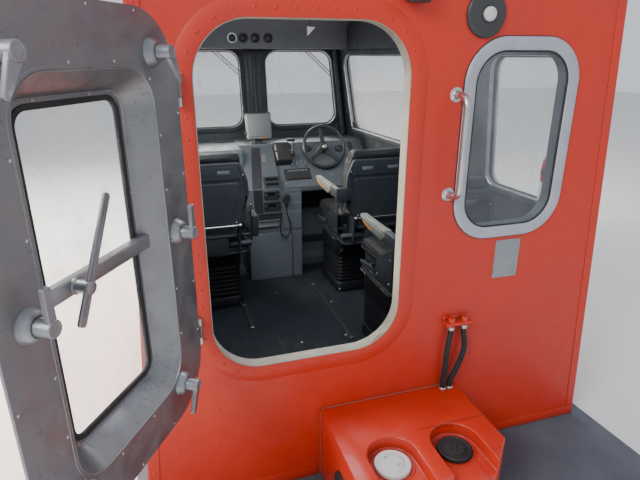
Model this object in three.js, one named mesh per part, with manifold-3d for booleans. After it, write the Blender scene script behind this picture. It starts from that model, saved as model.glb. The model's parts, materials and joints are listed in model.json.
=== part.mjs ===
// Wheelhouse of a rigid inflatable boat, standing on its deck plate, door open.
// Millimetres. X to starboard, Y forward, Z up. Origin on the underside of the deck plate.
import * as THREE from 'three';
import { mergeVertices } from 'three/addons/utils/BufferGeometryUtils.js';
import Module from 'manifold-3d';

const wasm = await Module();
wasm.setup();

// Driving dimensions
const GAP = 0.3; // between touching pieces
const DECK = { thick: 30, halfWidth: 1050, aft: -1850, fore: 1180 };
const WALL = 45; // thickness of the moulded walls
const CABIN = {
  aft: -1350, // outer face of the aft wall
  fore: 1129, // outer face of the front wall at deck level
  halfAft: 970, // half width at deck level, at the aft wall
  halfFore: 850, // half width at deck level, at the front wall
  top: 1960, // underside of the roof
  lean: 0.069, // sides lean inboard, per mm of height
  rake: 0.137, // front wall leans forward, per mm of height
};
const ROOF = { thick: 80, overhang: 35, edge: 30 };
const OPENING = { x0: -688, x1: 11, z0: 590, z1: 1755, corner: 175 };
const TRIM = 3; // thickness of the edge trim in the door opening

// The door, measured from the hinge axis with the door closed
const DOOR = {
  hinge: [-728, -1368],
  openDeg: 121.4,
  edgeFromHinge: 27,
  innerFace: 12,
  width: 723,
  bottom: 580,
  top: 1763,
  corner: 178,
  plate: 8,
  flange: 128, // width of the flat border beside the recess
  pan: { bottom: 708, top: 1625, corner: 98, depth: 65, slope: 50, lip: 14 },
  rail: { z: 1168, half: 20, thick: 25 },
};
const DOGS = { boss: 33, bossHeight: 22, pin: 17.5, pinHeight: 58, blade: [12, 22, 85] };
// height above the floor, distance from the door's edge, and the blade's turn from straight
// down, towards the edge
const DOG_ROWS = [
  { z: 1660, inset: 116, turn: 28 },
  { z: 1171, inset: 79, turn: 180 },
  { z: 692, inset: 139, turn: -26 },
];

const AFT_WINDOW = { x: 447.5, z: 1350, w: 473, h: 724, corner: 155, band: 45, frame: 8 };
const PANE = 6; // thickness of the glass
const PANE_DEPTH = 18; // from the outer face of the walls to the glass

// Windows of the front wall, to starboard and mirrored to port: inner edge of each, outer edge at
// the sill, sill and top heights, and how far the outer edge leans in
const FRONT_WINDOW = { x0: { 1: 74, '-1': 128 }, x1: 660, z0: 1100, z1: 1680, slant: -40, corner: 105 };
// Side windows: aft and fore edges at the sill, sill and top heights, forward slant of the fore
// edge, and corners from the aft end of the sill round
const SIDE_WINDOWS = [
  { name: 'fore', y0: 150, y1: 1040, z0: 1085, z1: 1650, slant: 136, corner: [75, 75, 40, 75] },
  { name: 'aft', y0: -1130, y1: -680, z0: 1020, z1: 1650, slant: 0, corner: [75, 75, 75, 75] },
];

// Seats: centre, rear face of the shell, and whether there is an armrest on the aisle side
const SEATS = [
  { name: 'port_fore', x: -545, y: -10, lift: 10, arm: false },
  { name: 'starboard_fore', x: 520, y: -10, lift: -18, arm: true },
  { name: 'starboard_aft', x: 480, y: -940, lift: 0, arm: true },
];
// A seat's parts: half width, back and front from the shell's rear face, and heights
const SEAT = {
  base: { half: 195, y0: 235, y1: 620, z1: 486 },
  pan: { half: 225, y0: 40, y1: 590, z0: 476, z1: 524 },
  carrier: { half: 205, y0: 132, y1: 600, z0: 520, z1: 598 },
  link: { half: 90, y0: 0, y1: 90, z0: 490, z1: 620 },
  shell: { half: 205, y0: 0, y1: 25, z0: 590, z1: 1092 },
  cushion: { half: 236, y0: 128, y1: 634, z0: 598 + GAP, z1: 674 },
  back: { half: 228, y0: 25 + GAP, y1: 120, z0: 622, z1: 1122 },
};

const LOOK = {
  hull: { color: 0xc8442c, roughness: 0.4, metalness: 0 },
  deck: { color: 0x6f767c, roughness: 0.9, metalness: 0 },
  aluminium: { color: 0x9ba0a5, roughness: 0.45, metalness: 0.9 },
  frame: { color: 0xc4c8ca, roughness: 0.4, metalness: 0.6 },
  trim: { color: 0xcfcabb, roughness: 0.6, metalness: 0.1 },
  glass: { color: 0xaab6ba, roughness: 0.1, metalness: 0 },
  steel: { color: 0xb9bcbe, roughness: 0.25, metalness: 1 },
  black: { color: 0x202226, roughness: 0.7, metalness: 0 },
  rubber: { color: 0x17181a, roughness: 0.85, metalness: 0 },
  console: { color: 0x666a6e, roughness: 0.6, metalness: 0 },
  lining: { color: 0x2c3036, roughness: 0.8, metalness: 0 },
  white: { color: 0xd9dada, roughness: 0.5, metalness: 0 },
  red: { color: 0xb32420, roughness: 0.4, metalness: 0 },
  upholstery: { color: 0x2a2c30, roughness: 0.8, metalness: 0 },
};

// Solids

function solid(geometry) {
  const bare = geometry.index ? geometry.toNonIndexed() : geometry.clone();
  bare.deleteAttribute('normal');
  bare.deleteAttribute('uv');
  const merged = mergeVertices(bare, 1e-3);
  return new wasm.Manifold(
    new wasm.Mesh({
      numProp: 3,
      vertProperties: new Float32Array(merged.attributes.position.array),
      triVerts: new Uint32Array(merged.index.array),
    }),
  );
}

function box(x0, x1, y0, y1, z0, z1) {
  const g = new THREE.BoxGeometry(x1 - x0, y1 - y0, z1 - z0);
  g.translate((x0 + x1) / 2, (y0 + y1) / 2, (z0 + z1) / 2);
  return solid(g);
}

// A rod between two points
function rod(radius, from, to, sides = 24) {
  const a = new THREE.Vector3(...from);
  const b = new THREE.Vector3(...to);
  const g = new THREE.CylinderGeometry(radius, radius, a.distanceTo(b), sides);
  const turn = new THREE.Quaternion().setFromUnitVectors(
    new THREE.Vector3(0, 1, 0),
    b.clone().sub(a).normalize(),
  );
  g.applyQuaternion(turn);
  g.translate((a.x + b.x) / 2, (a.y + b.y) / 2, (a.z + b.z) / 2);
  return solid(g);
}

function roundedRect(w, h, r) {
  const s = new THREE.Shape();
  s.moveTo(-w / 2 + r, -h / 2);
  s.lineTo(w / 2 - r, -h / 2);
  s.absarc(w / 2 - r, -h / 2 + r, r, -Math.PI / 2, 0);
  s.lineTo(w / 2, h / 2 - r);
  s.absarc(w / 2 - r, h / 2 - r, r, 0, Math.PI / 2);
  s.lineTo(-w / 2 + r, h / 2);
  s.absarc(-w / 2 + r, h / 2 - r, r, Math.PI / 2, Math.PI);
  s.lineTo(-w / 2, -h / 2 + r);
  s.absarc(-w / 2 + r, -h / 2 + r, r, Math.PI, 1.5 * Math.PI);
  return s;
}

// Outline in X and Z, standing from y0 to y1
function standing(shape, y0, y1) {
  const g = new THREE.ExtrudeGeometry(shape, { depth: y1 - y0, bevelEnabled: false, curveSegments: 8 });
  g.rotateX(Math.PI / 2);
  g.translate(0, y1, 0);
  return solid(g);
}

// Rounded rectangle in X and Z at a centre, from y0 to y1
function pane(x, z, w, h, r, y0, y1) {
  return standing(roundedRect(w, h, r), y0, y1).translate([x, 0, z]);
}

// Shape in Y and Z, laid across from x0 to x1
function acrossShape(shape, x0, x1) {
  const g = new THREE.ExtrudeGeometry(shape, { depth: x1 - x0, bevelEnabled: false, curveSegments: 8 });
  g.applyMatrix4(new THREE.Matrix4().set(0, 0, 1, x0, 1, 0, 0, 0, 0, 1, 0, 0, 0, 0, 0, 1));
  return solid(g);
}

// Outline of Y and Z points, laid across from x0 to x1
function across(points, x0, x1) {
  return acrossShape(new THREE.Shape(points.map(([y, z]) => new THREE.Vector2(y, z))), x0, x1);
}

// Polygon with its corners rounded from a distance r either side
function roundedPolygon(corners, radii) {
  const shape = new THREE.Shape();
  const n = corners.length;
  corners.forEach((corner, i) => {
    const r = radii[i];
    const c = new THREE.Vector2(...corner);
    const before = new THREE.Vector2(...corners[(i + n - 1) % n]).sub(c).setLength(r).add(c);
    const after = new THREE.Vector2(...corners[(i + 1) % n]).sub(c).setLength(r).add(c);
    if (i === 0) shape.moveTo(before.x, before.y);
    else shape.lineTo(before.x, before.y);
    shape.quadraticCurveTo(c.x, c.y, after.x, after.y);
  });
  return shape;
}

// Rounded rectangle that narrows evenly from its size at y1 to its size at y0
function tapered(x, z, w, h, r, narrow, y0, y1) {
  const g = new THREE.ExtrudeGeometry(roundedRect(w, h, r), {
    depth: y1 - y0,
    bevelEnabled: false,
    curveSegments: 8,
  });
  g.rotateX(Math.PI / 2);
  g.translate(0, y1, 0);
  const p = g.attributes.position;
  for (let i = 0; i < p.count; i += 1) {
    if (p.getY(i) < (y0 + y1) / 2) {
      p.setX(i, (p.getX(i) * (w - 2 * narrow)) / w);
      p.setZ(i, (p.getZ(i) * (h - 2 * narrow)) / h);
    }
  }
  g.translate(x, 0, z);
  return solid(g);
}

function tube(points, radius, sides, steps) {
  const path = new THREE.CatmullRomCurve3(points.map((p) => new THREE.Vector3(...p)));
  const section = new THREE.Shape();
  section.absarc(0, 0, radius, 0, 2 * Math.PI);
  const g = new THREE.ExtrudeGeometry(section, { steps, extrudePath: path, curveSegments: sides });
  return solid(g);
}

function union(...parts) {
  return parts.reduce((a, b) => a.add(b));
}

const object = new THREE.Group();

function place(parent, name, shape, look) {
  const mesh = shape.getMesh();
  const g = new THREE.BufferGeometry();
  g.setAttribute('position', new THREE.BufferAttribute(new Float32Array(mesh.vertProperties), 3));
  g.setIndex(new THREE.BufferAttribute(new Uint32Array(mesh.triVerts), 1));
  g.computeVertexNormals();
  const part = new THREE.Mesh(g, new THREE.MeshStandardMaterial(LOOK[look]));
  part.name = name;
  parent.add(part);
  return part;
}

// Cabin planes: half width at a place, and the front wall at a height

const SPAN = CABIN.fore - CABIN.aft;
const TAPER = (CABIN.halfAft - CABIN.halfFore) / SPAN;

function plane(nx, ny, nz, px, py, pz) {
  const l = Math.hypot(nx, ny, nz);
  return { n: [nx / l, ny / l, nz / l], d: (nx * px + ny * py + nz * pz) / l };
}

// side is 1 for starboard and -1 for port; inset is measured square to the wall
function sidePlane(side, inset) {
  const p = plane(side, TAPER, CABIN.lean, side * CABIN.halfAft, CABIN.aft, DECK.thick);
  return { n: p.n, d: p.d - inset };
}

function frontPlane(inset) {
  const p = plane(0, 1, -CABIN.rake, 0, CABIN.fore, DECK.thick);
  return { n: p.n, d: p.d - inset };
}

// Keep what lies inside, or outside, a plane
function inside(shape, p) {
  return shape.trimByPlane(
    p.n.map((v) => -v),
    -p.d,
  );
}
function outside(shape, p) {
  return shape.trimByPlane(p.n, p.d);
}

function deckPlate() {
  const d = DECK;
  const shape = new THREE.Shape();
  const r = 60;
  shape.moveTo(-d.halfWidth + r, d.aft);
  shape.lineTo(d.halfWidth - r, d.aft);
  shape.absarc(d.halfWidth - r, d.aft + r, r, -Math.PI / 2, 0);
  shape.lineTo(CABIN.halfFore + 60, d.fore);
  shape.lineTo(-CABIN.halfFore - 60, d.fore);
  shape.lineTo(-d.halfWidth, d.aft + r);
  shape.absarc(-d.halfWidth + r, d.aft + r, r, Math.PI, 1.5 * Math.PI);
  const g = new THREE.ExtrudeGeometry(shape, { depth: d.thick, bevelEnabled: false, curveSegments: 6 });
  return solid(g);
}

// The closed outer form of the cabin, moved in by an inset
function cabinForm(inset) {
  const z0 = DECK.thick + GAP;
  let form = box(-1200, 1200, CABIN.aft + inset, 1800, z0, CABIN.top);
  form = inside(form, sidePlane(1, inset));
  form = inside(form, sidePlane(-1, inset));
  return inside(form, frontPlane(inset));
}

function openingCut(extra) {
  const o = OPENING;
  const w = o.x1 - o.x0 - 2 * extra;
  const h = o.z1 - o.z0 - 2 * extra;
  return pane((o.x0 + o.x1) / 2, (o.z0 + o.z1) / 2, w, h, o.corner - extra, -1500, -1200);
}

function aftWindowCut(extra) {
  const a = AFT_WINDOW;
  const lip = a.band - 4 + extra;
  return pane(a.x, a.z, a.w - 2 * lip, a.h - 2 * lip, a.corner - lip, -1500, -1200);
}

function aftWall() {
  let wall = cabinForm(0).intersect(box(-1200, 1200, CABIN.aft, CABIN.aft + WALL, 0, 2000));
  wall = wall.subtract(openingCut(0));
  return wall.subtract(aftWindowCut(0));
}

// Outline of a window with its far edge slanted, made smaller by an inset
function slantedOutline(w, low, high, inset, corner) {
  const corners = [
    [low + inset, w.z0 + inset],
    [high - inset, w.z0 + inset],
    [high + w.slant - inset, w.z1 - inset],
    [low + inset, w.z1 - inset],
  ];
  return roundedPolygon(corners, corner);
}

function frontCut(side, inset) {
  const f = FRONT_WINDOW;
  const radii = [0, 1, 2, 3].map(() => f.corner);
  const cut = standing(slantedOutline(f, f.x0[side], f.x1, inset, radii), 900, 1700);
  return side > 0 ? cut : cut.mirror([1, 0, 0]);
}

function frontWall() {
  let wall = outside(cabinForm(0), frontPlane(WALL));
  wall = wall.subtract(frontCut(1, 0));
  return wall.subtract(frontCut(-1, 0));
}

// Far enough across a side wall to cut right through it
function throughSide(side) {
  return side > 0 ? [500, 1300] : [-1300, -500];
}

function sideCut(win, inset, side) {
  return acrossShape(slantedOutline(win, win.y0, win.y1, inset, win.corner), ...throughSide(side));
}

function sideWall(side) {
  let wall = outside(cabinForm(0), sidePlane(side, WALL));
  wall = wall.intersect(box(-1300, 1300, CABIN.aft + WALL + GAP, 1800, 0, 2000));
  wall = inside(wall, frontPlane(WALL + GAP));
  for (const win of SIDE_WINDOWS) wall = wall.subtract(sideCut(win, 0, side));
  return wall;
}

function sideGlass(side, win) {
  const cut = sideCut(win, GAP, side);
  return inside(outside(cut, sidePlane(side, PANE_DEPTH + PANE)), sidePlane(side, PANE_DEPTH));
}

function frontGlass(side) {
  return inside(outside(frontCut(side, GAP), frontPlane(PANE_DEPTH + PANE)), frontPlane(PANE_DEPTH));
}

function roof() {
  const rise = CABIN.top - DECK.thick;
  const halfAft = CABIN.halfAft - CABIN.lean * rise + ROOF.overhang;
  const halfFore = CABIN.halfFore - CABIN.lean * rise + ROOF.overhang - 20;
  const aft = CABIN.aft - ROOF.overhang;
  const fore = CABIN.fore + CABIN.rake * rise + ROOF.overhang;
  const e = ROOF.edge;
  const shape = new THREE.Shape();
  const r = 90;
  shape.moveTo(-halfAft + e + r, aft + e);
  shape.lineTo(halfAft - e - r, aft + e);
  shape.quadraticCurveTo(halfAft - e, aft + e, halfAft - e, aft + e + r);
  shape.lineTo(halfFore - e, fore - e - r);
  shape.quadraticCurveTo(halfFore - e, fore - e, halfFore - e - r, fore - e);
  shape.lineTo(-halfFore + e + r, fore - e);
  shape.quadraticCurveTo(-halfFore + e, fore - e, -halfFore + e, fore - e - r);
  shape.lineTo(-halfAft + e, aft + e + r);
  shape.quadraticCurveTo(-halfAft + e, aft + e, -halfAft + e + r, aft + e);
  const g = new THREE.ExtrudeGeometry(shape, {
    depth: ROOF.thick - 2 * e,
    bevelEnabled: true,
    bevelThickness: e,
    bevelSize: e,
    bevelSegments: 4,
    curveSegments: 6,
  });
  g.translate(0, 0, CABIN.top + GAP + e);
  return solid(g);
}

function openingTrim() {
  const o = OPENING;
  const w = o.x1 - o.x0 - 2 * GAP;
  const h = o.z1 - o.z0 - 2 * GAP;
  const x = (o.x0 + o.x1) / 2;
  const z = (o.z0 + o.z1) / 2;
  const y0 = CABIN.aft - 1;
  const y1 = CABIN.aft + WALL + 3;
  const outer = pane(x, z, w, h, o.corner - GAP, y0, y1);
  return outer.subtract(pane(x, z, w - 2 * TRIM, h - 2 * TRIM, o.corner - TRIM, y0 - 5, y1 + 5));
}

function aftFrame() {
  const a = AFT_WINDOW;
  const y0 = CABIN.aft - GAP - a.frame;
  const y1 = CABIN.aft - GAP;
  const outer = pane(a.x, a.z, a.w, a.h, a.corner, y0, y1);
  const b = a.band;
  return outer.subtract(pane(a.x, a.z, a.w - 2 * b, a.h - 2 * b, a.corner - b, y0 - 5, y1 + 5));
}

function aftGlass() {
  const y0 = CABIN.aft;
  return aftWindowCut(GAP).intersect(box(0, 1000, y0, y0 + PANE, 500, 2000));
}

// Door, built closed and measured from the hinge axis, then swung open by its group

function doorPanel() {
  const d = DOOR;
  const p = d.pan;
  const t = d.plate;
  const x = d.edgeFromHinge + d.width / 2;
  const face = d.innerFace;
  const w = d.width - 2 * d.flange;
  const h = p.top - p.bottom;
  const z = (p.top + p.bottom) / 2;
  const floor = face - p.depth;
  let panel = pane(x, (d.bottom + d.top) / 2, d.width, d.top - d.bottom, d.corner, face - t, face);
  panel = panel.add(tapered(x, z, w + 2 * t, h + 2 * t, p.corner + t, p.slope, floor - t, face - 1));
  panel = panel.subtract(tapered(x, z, w, h, p.corner, p.slope, floor, face + 0.01));
  panel = panel.subtract(doorWindow(0, floor - 3 * t, floor + 5));
  const r = d.rail;
  const half = w / 2 - 20;
  panel = panel.add(box(x - half, x + half, floor + GAP, floor + r.thick, r.z - r.half, r.z + r.half));
  panel = panel.add(doorLever(floor + r.thick));
  for (const row of DOG_ROWS) {
    panel = panel.add(dog(d.edgeFromHinge + row.inset, row.z, row.turn));
    panel = panel.add(dog(d.edgeFromHinge + d.width - row.inset, row.z, -row.turn));
  }
  return panel.add(doorStraps());
}

// Outline of the door's glass, made smaller by an inset, from y0 to y1
function doorWindow(inset, y0, y1) {
  const p = DOOR.pan;
  const edge = p.slope + p.lip + inset;
  const w = DOOR.width - 2 * (DOOR.flange + edge);
  const h = p.top - p.bottom - 2 * edge;
  const x = DOOR.edgeFromHinge + DOOR.width / 2;
  return pane(x, (p.top + p.bottom) / 2, w, h, p.corner - p.slope + 10 - inset, y0, y1);
}

function doorGlass() {
  const floor = DOOR.innerFace - DOOR.pan.depth;
  return doorWindow(GAP, floor - PANE, floor);
}

// Lever, on a spindle from the rail's face at y
const LEVER = { top: [385, 1358], low: [535, 1090], wide: 26, thick: 8, spindle: 16, out: 34 };

function doorLever(y) {
  const l = LEVER;
  const dx = l.top[0] - l.low[0];
  const dz = l.top[1] - l.low[1];
  const g = new THREE.BoxGeometry(l.wide, l.thick, Math.hypot(dx, dz));
  g.rotateY(Math.atan2(dx, dz));
  g.translate((l.top[0] + l.low[0]) / 2, y + l.out, (l.top[1] + l.low[1]) / 2);
  const z = DOOR.rail.z;
  const x = l.low[0] + (dx * (z - l.low[1])) / dz;
  return union(solid(g), rod(l.spindle, [x, y - 2, z], [x, y + l.out, z]));
}

function dog(x, z, turn) {
  const f = DOOR.innerFace;
  const [thick, wide, long] = DOGS.blade;
  const g = new THREE.BoxGeometry(wide, thick, long);
  g.translate(0, 0, -long / 2);
  g.rotateY((turn * Math.PI) / 180);
  g.translate(x, f + DOGS.pinHeight - thick / 2 - 6, z);
  return union(
    rod(DOGS.boss, [x, f - 2, z], [x, f + DOGS.bossHeight, z], 16),
    rod(DOGS.pin, [x, f, z], [x, f + DOGS.pinHeight, z], 12),
    solid(g),
  );
}

const HINGES = [780, 1560];
const KNUCKLE = { radius: 7, half: 22, pin: 4, play: 0.4 };

// Straps on the door's outer face, each with a knuckle round the hinge axis
function doorStraps() {
  const d = DOOR;
  const y1 = d.innerFace - d.plate;
  const straps = HINGES.map((z) => {
    const h = KNUCKLE.half;
    const strap = box(0, d.edgeFromHinge + 60, y1 - 6, y1 + 1, z - h, z + h);
    const knuckle = rod(KNUCKLE.radius, [0, 0, z - h], [0, 0, z + h], 16);
    return union(strap, knuckle).subtract(rod(KNUCKLE.pin + KNUCKLE.play, [0, 0, z - h - 5], [0, 0, z + h + 5], 16));
  });
  return union(...straps);
}

// The half on the wall: a plate, two knuckles above and below the door's, and a bridge behind
function wallHinge(z) {
  const [hx, hy] = DOOR.hinge;
  const k = KNUCKLE;
  const y1 = CABIN.aft - GAP;
  const reach = k.half + 1;
  const long = 24;
  const plate = box(hx - 45, hx + 5, y1 - 3, y1, z - reach - long, z + reach + long);
  const ends = [1, -1].map((s) => {
    const a = z + s * reach;
    const b = z + s * (reach + long);
    const knuckle = rod(k.radius, [hx, hy, a], [hx, hy, b], 16);
    return union(knuckle, box(hx - 4, hx + 4, hy, y1 - 1, Math.min(a, b), Math.max(a, b)));
  });
  const pin = rod(k.pin, [hx, hy, z - reach - 5], [hx, hy, z + reach + 5], 16);
  return union(plate, pin, ...ends);
}

// Fittings on the aft wall

function grabHandle() {
  const x = 184;
  const z0 = 1176;
  const z1 = 1525;
  const wall = CABIN.aft - GAP;
  const out = wall - 73;
  const r = 12;
  const bend = 38;
  const path = new THREE.CurvePath();
  const v = (y, z) => new THREE.Vector3(x, y, z);
  path.add(new THREE.LineCurve3(v(wall - 1, z0), v(out + bend, z0)));
  path.add(new THREE.QuadraticBezierCurve3(v(out + bend, z0), v(out, z0), v(out, z0 + bend)));
  path.add(new THREE.LineCurve3(v(out, z0 + bend), v(out, z1 - bend)));
  path.add(new THREE.QuadraticBezierCurve3(v(out, z1 - bend), v(out, z1), v(out + bend, z1)));
  path.add(new THREE.LineCurve3(v(out + bend, z1), v(wall - 1, z1)));
  const section = new THREE.Shape();
  section.absarc(0, 0, r, 0, 2 * Math.PI);
  const g = new THREE.ExtrudeGeometry(section, { steps: 28, extrudePath: path, curveSegments: 6 });
  const foot = (z) => rod(25, [x, wall - 5, z], [x, wall, z]);
  return union(solid(g), foot(z0), foot(z1));
}

function ventDisc() {
  const [x, z, y] = [268, 1777, CABIN.aft - GAP];
  return union(rod(73, [x, y - 20, z], [x, y, z], 32), rod(22.5, [x, y - 32, z], [x, y - 10, z]));
}

function aftLamp() {
  const y = CABIN.aft - GAP;
  return box(-29.5, 45.5, y - 48, y, 1804, 1884);
}

function specPlate() {
  const y = CABIN.aft - GAP;
  return box(417, 530, y - 2, y, 811, 972);
}

const HOSES = [
  { name: 'hose_port', x: 238, foot: 224, bow: 226 },
  { name: 'hose_starboard', x: 296, foot: 256, bow: 304 },
];
const BOX = { x0: -300, x1: 290, depth: 455, top: 350, chamfer: 100 };
// Bracket: a shelf on a back plate, with a nut through it for each hose
const BRACKET = { x: 267, halfWidth: 58, z0: 640, shelf: 12, back: 34, out: 42, nut: 34 };

function hoseBracket() {
  const b = BRACKET;
  const y = CABIN.aft - GAP;
  const [x0, x1] = [b.x - b.halfWidth, b.x + b.halfWidth];
  const shelf = box(x0, x1, y - b.out, y, b.z0 + 4, b.z0 + 4 + b.shelf);
  const back = box(x0, x1, y - 5, y, b.z0, b.z0 + b.back);
  const nuts = HOSES.map((h) => rod(15, [h.x, y - 24, b.z0], [h.x, y - 24, b.z0 + b.nut], 6));
  return union(shelf, back, ...nuts);
}

function hose(h) {
  const y = CABIN.aft - GAP - 24;
  const z1 = BRACKET.z0 - GAP;
  const z0 = BOX.top + GAP;
  const points = [
    [h.x, y, z1],
    [h.x, y, z1 - 30],
    [h.bow, y - 6, z1 - 110],
    [(h.bow + h.foot) / 2, y - 4, z0 + 90],
    [h.foot, y, z0 + 30],
    [h.foot, y, z0],
  ];
  const shape = tube(points, 11, 5, 24);
  return shape.intersect(box(0, 500, -1500, -1351, z0, z1));
}

// Deck box with two recesses that hold the caps
const CAPS = [
  { name: 'deck_box_cap_white', x: -134, look: 'white' },
  { name: 'deck_box_cap_black', x: 112, look: 'rubber' },
];
const RECESS = { radius: 90, depth: 50, back: 310 };

function deckBox() {
  const b = BOX;
  const y1 = CABIN.aft - GAP;
  const y0 = CABIN.aft - b.depth;
  const z0 = DECK.thick + GAP;
  const shape = new THREE.Shape();
  shape.moveTo(b.x0, y0);
  shape.lineTo(b.x1 - b.chamfer, y0);
  shape.lineTo(b.x1, y0 + b.chamfer);
  shape.lineTo(b.x1, y1);
  shape.lineTo(b.x0, y1);
  const g = new THREE.ExtrudeGeometry(shape, { depth: b.top - z0, bevelEnabled: false });
  g.translate(0, 0, z0);
  let body = solid(g);
  for (const cap of CAPS) {
    const y = CABIN.aft - RECESS.back;
    const floor = b.top - RECESS.depth;
    const round = rod(RECESS.radius, [cap.x, y, floor], [cap.x, y, b.top + 5], 40);
    const run = box(cap.x - RECESS.radius, cap.x + RECESS.radius, y0 - 5, y, floor, b.top + 5);
    body = body.subtract(round.add(run));
  }
  return union(body, rod(48, [b.x0 - 10, -1600, 200], [b.x0 + 5, -1600, 200], 28));
}

function deckCap(cap) {
  const y = CABIN.aft - RECESS.back;
  const z0 = BOX.top - RECESS.depth + GAP;
  return union(rod(65, [cap.x, y, z0], [cap.x, y, z0 + 16], 32), rod(40, [cap.x, y, z0], [cap.x, y, z0 + 24]));
}

// Inside the cabin

const DASH = { lower: [660, 690], edge: [660, 715], brow: [915, 1012], top: 1012 };
const PEDESTAL = { x0: -228, x1: 176, face: 620, stackEdge: 20 };
// The dash to port of the pedestal stands square, and a bulkhead closes both footwells
const POD = { face: 745, top: 1006, round: 21 };
const FOOTWELL = { face: 960, rest: { x0: 176, x1: 720, y0: 800, top: 130 } };
const HELM = { x: 412, y: 806, z: 988, tilt: 25, radius: 172, rim: 13, hub: 26, column: 32 };

function consoleBlock() {
  const d = DASH;
  const p = PEDESTAL;
  const fore = 1400; // past the front wall, which trims the block
  const floor = DECK.thick + GAP;
  const pod = [
    [POD.face, d.lower[1]],
    [POD.face, POD.top - POD.round],
    [POD.face + POD.round, POD.top],
    [fore, POD.top],
    [fore, d.lower[1]],
  ];
  const rest = FOOTWELL.rest;
  let block = union(
    across([d.lower, d.edge, d.brow, [fore, d.top], [fore, d.lower[1]]], p.x0, 900),
    across(pod, -900, p.x0 + 1),
    box(-900, 900, FOOTWELL.face, fore, floor, d.lower[1] + 1),
    box(rest.x0, rest.x1, rest.y0, FOOTWELL.face + 1, floor, rest.top),
  );
  for (const s of [1, -1]) block = inside(block, sidePlane(s, WALL + GAP));
  block = inside(block, frontPlane(WALL + GAP));
  const pedestal = box(p.x0, p.x1, p.face, FOOTWELL.face + 1, floor, d.edge[1]);
  const stack = across(
    [
      [p.face, 600],
      [p.face, 735],
      [d.brow[0] - 40, d.top - 10],
      [1000, 980],
      [1000, 600],
    ],
    p.x0,
    p.stackEdge,
  );
  const t = (HELM.tilt * Math.PI) / 180;
  const n = [0, -Math.cos(t), Math.sin(t)];
  const at = (k) => [HELM.x, HELM.y - n[1] * k, HELM.z - n[2] * k];
  const column = rod(HELM.column, at(HELM.hub + GAP), at(170));
  return union(block, pedestal, stack, column);
}

const SPOKES = [97, 217, 312]; // degrees, seen from the helmsman's side

function steeringWheel() {
  const reach = HELM.radius - 20;
  const ring = solid(new THREE.TorusGeometry(HELM.radius - HELM.rim, HELM.rim, 8, 40));
  const spokes = SPOKES.map((deg) => {
    const g = new THREE.BoxGeometry(reach, 34, 8);
    g.translate(reach / 2, 0, 0);
    g.rotateZ((deg * Math.PI) / 180);
    return solid(g);
  });
  const hub = rod(34, [0, 0, -HELM.hub], [0, 0, 14]);
  return union(ring, hub, ...spokes);
}

const MONITOR = { x: -68, y: 940, z: 1144, tilt: 12, foot: [62, 930, 1010] };

function monitor() {
  const m = MONITOR;
  const g = new THREE.BoxGeometry(186, 100, 180);
  g.rotateX((-m.tilt * Math.PI) / 180);
  g.translate(m.x, m.y, m.z);
  const [half, y0, y1] = m.foot;
  return union(solid(g), box(m.x - half, m.x + half, y0, y1, DASH.top + GAP, 1090));
}

function slopeFrame(along, off) {
  const [y0, z0] = DASH.edge;
  const [y1, z1] = DASH.brow;
  const l = Math.hypot(y1 - y0, z1 - z0);
  const s = [(y1 - y0) / l, (z1 - z0) / l];
  return [y0 + s[0] * along - s[1] * off, z0 + s[1] * along + s[0] * off];
}

const SLOPE = Math.atan2(DASH.brow[1] - DASH.edge[1], DASH.brow[0] - DASH.edge[0]);

const THROTTLE = { x: 88, along: 290, size: [130, 180, 60], lever: 158, grip: [112, 176], height: 100 };

function throttle() {
  const t = THROTTLE;
  const g = new THREE.BoxGeometry(...t.size);
  g.rotateX(SLOPE);
  const [y, z] = slopeFrame(t.along, t.size[2] / 2 + GAP);
  g.translate(t.x, y, z);
  const lever = new THREE.BoxGeometry(14, 22, t.height + 20);
  lever.rotateX(0.1);
  lever.translate(t.lever, y - 35, z + t.height / 2 - 10);
  const [x0, x1] = t.grip;
  return union(solid(g), solid(lever), rod(12, [x0, y - 41, z + t.height], [x1, y - 41, z + t.height], 12));
}

// Route of the microphone's cord, from its foot down in a loop and back into the console's face
const MIC = { x: 55, half: 25, foot: 612, top: 694, clip: [11, 640, 670], cordRadius: 4.5 };
const MIC_CORD = [
  [55, 598, 616],
  [54, 598, 590],
  [55.5, 597.5, 557],
  [62, 597, 529],
  [74.5, 595.5, 497],
  [81.5, 594, 462],
  [82.5, 593, 430],
  [77, 592, 400],
  [62.5, 591.5, 380],
  [41, 591, 370.5],
  [21, 591.5, 380],
  [8.5, 592, 402],
  [5.5, 593, 430],
  [6, 594.5, 452],
  [9.5, 597.5, 472],
  [14, 604, 484.5],
  [17, 612, 490.5],
  [18, 624, 491.5],
];

function mic() {
  const y1 = PEDESTAL.face - GAP;
  const [half, z0, z1] = MIC.clip;
  return union(
    box(MIC.x - MIC.half, MIC.x + MIC.half, y1 - 34, y1 - 8, MIC.foot, MIC.top),
    box(MIC.x - half, MIC.x + half, y1 - 10, y1, z0, z1),
  );
}

function micCord() {
  const cord = tube(MIC_CORD, MIC.cordRadius, 4, 60);
  const face = PEDESTAL.face - GAP;
  return cord.intersect(box(-100, 200, 500, face, 300, MIC.foot - GAP));
}

function overheadPanel() {
  let body = across(
    [
      [1075, 1690],
      [1075, 1830],
      [960, CABIN.top - GAP],
      [1500, CABIN.top - GAP],
      [1500, 1690],
    ],
    -900,
    900,
  );
  for (const s of [1, -1]) body = inside(body, sidePlane(s, WALL + GAP));
  return inside(body, frontPlane(WALL + GAP));
}

function extinguisher() {
  const [x, y] = [772, -1215];
  const bracket = inside(box(x, 950, y - 25, y + 25, 1000, 1200), sidePlane(1, WALL + GAP));
  return union(
    rod(55, [x, y, 985], [x, y, 1270], 28),
    rod(22, [x, y, 1260], [x, y, 1310], 16),
    box(x - 12, x + 12, y - 70, y + 20, 1300, 1330),
    bracket,
  );
}

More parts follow.
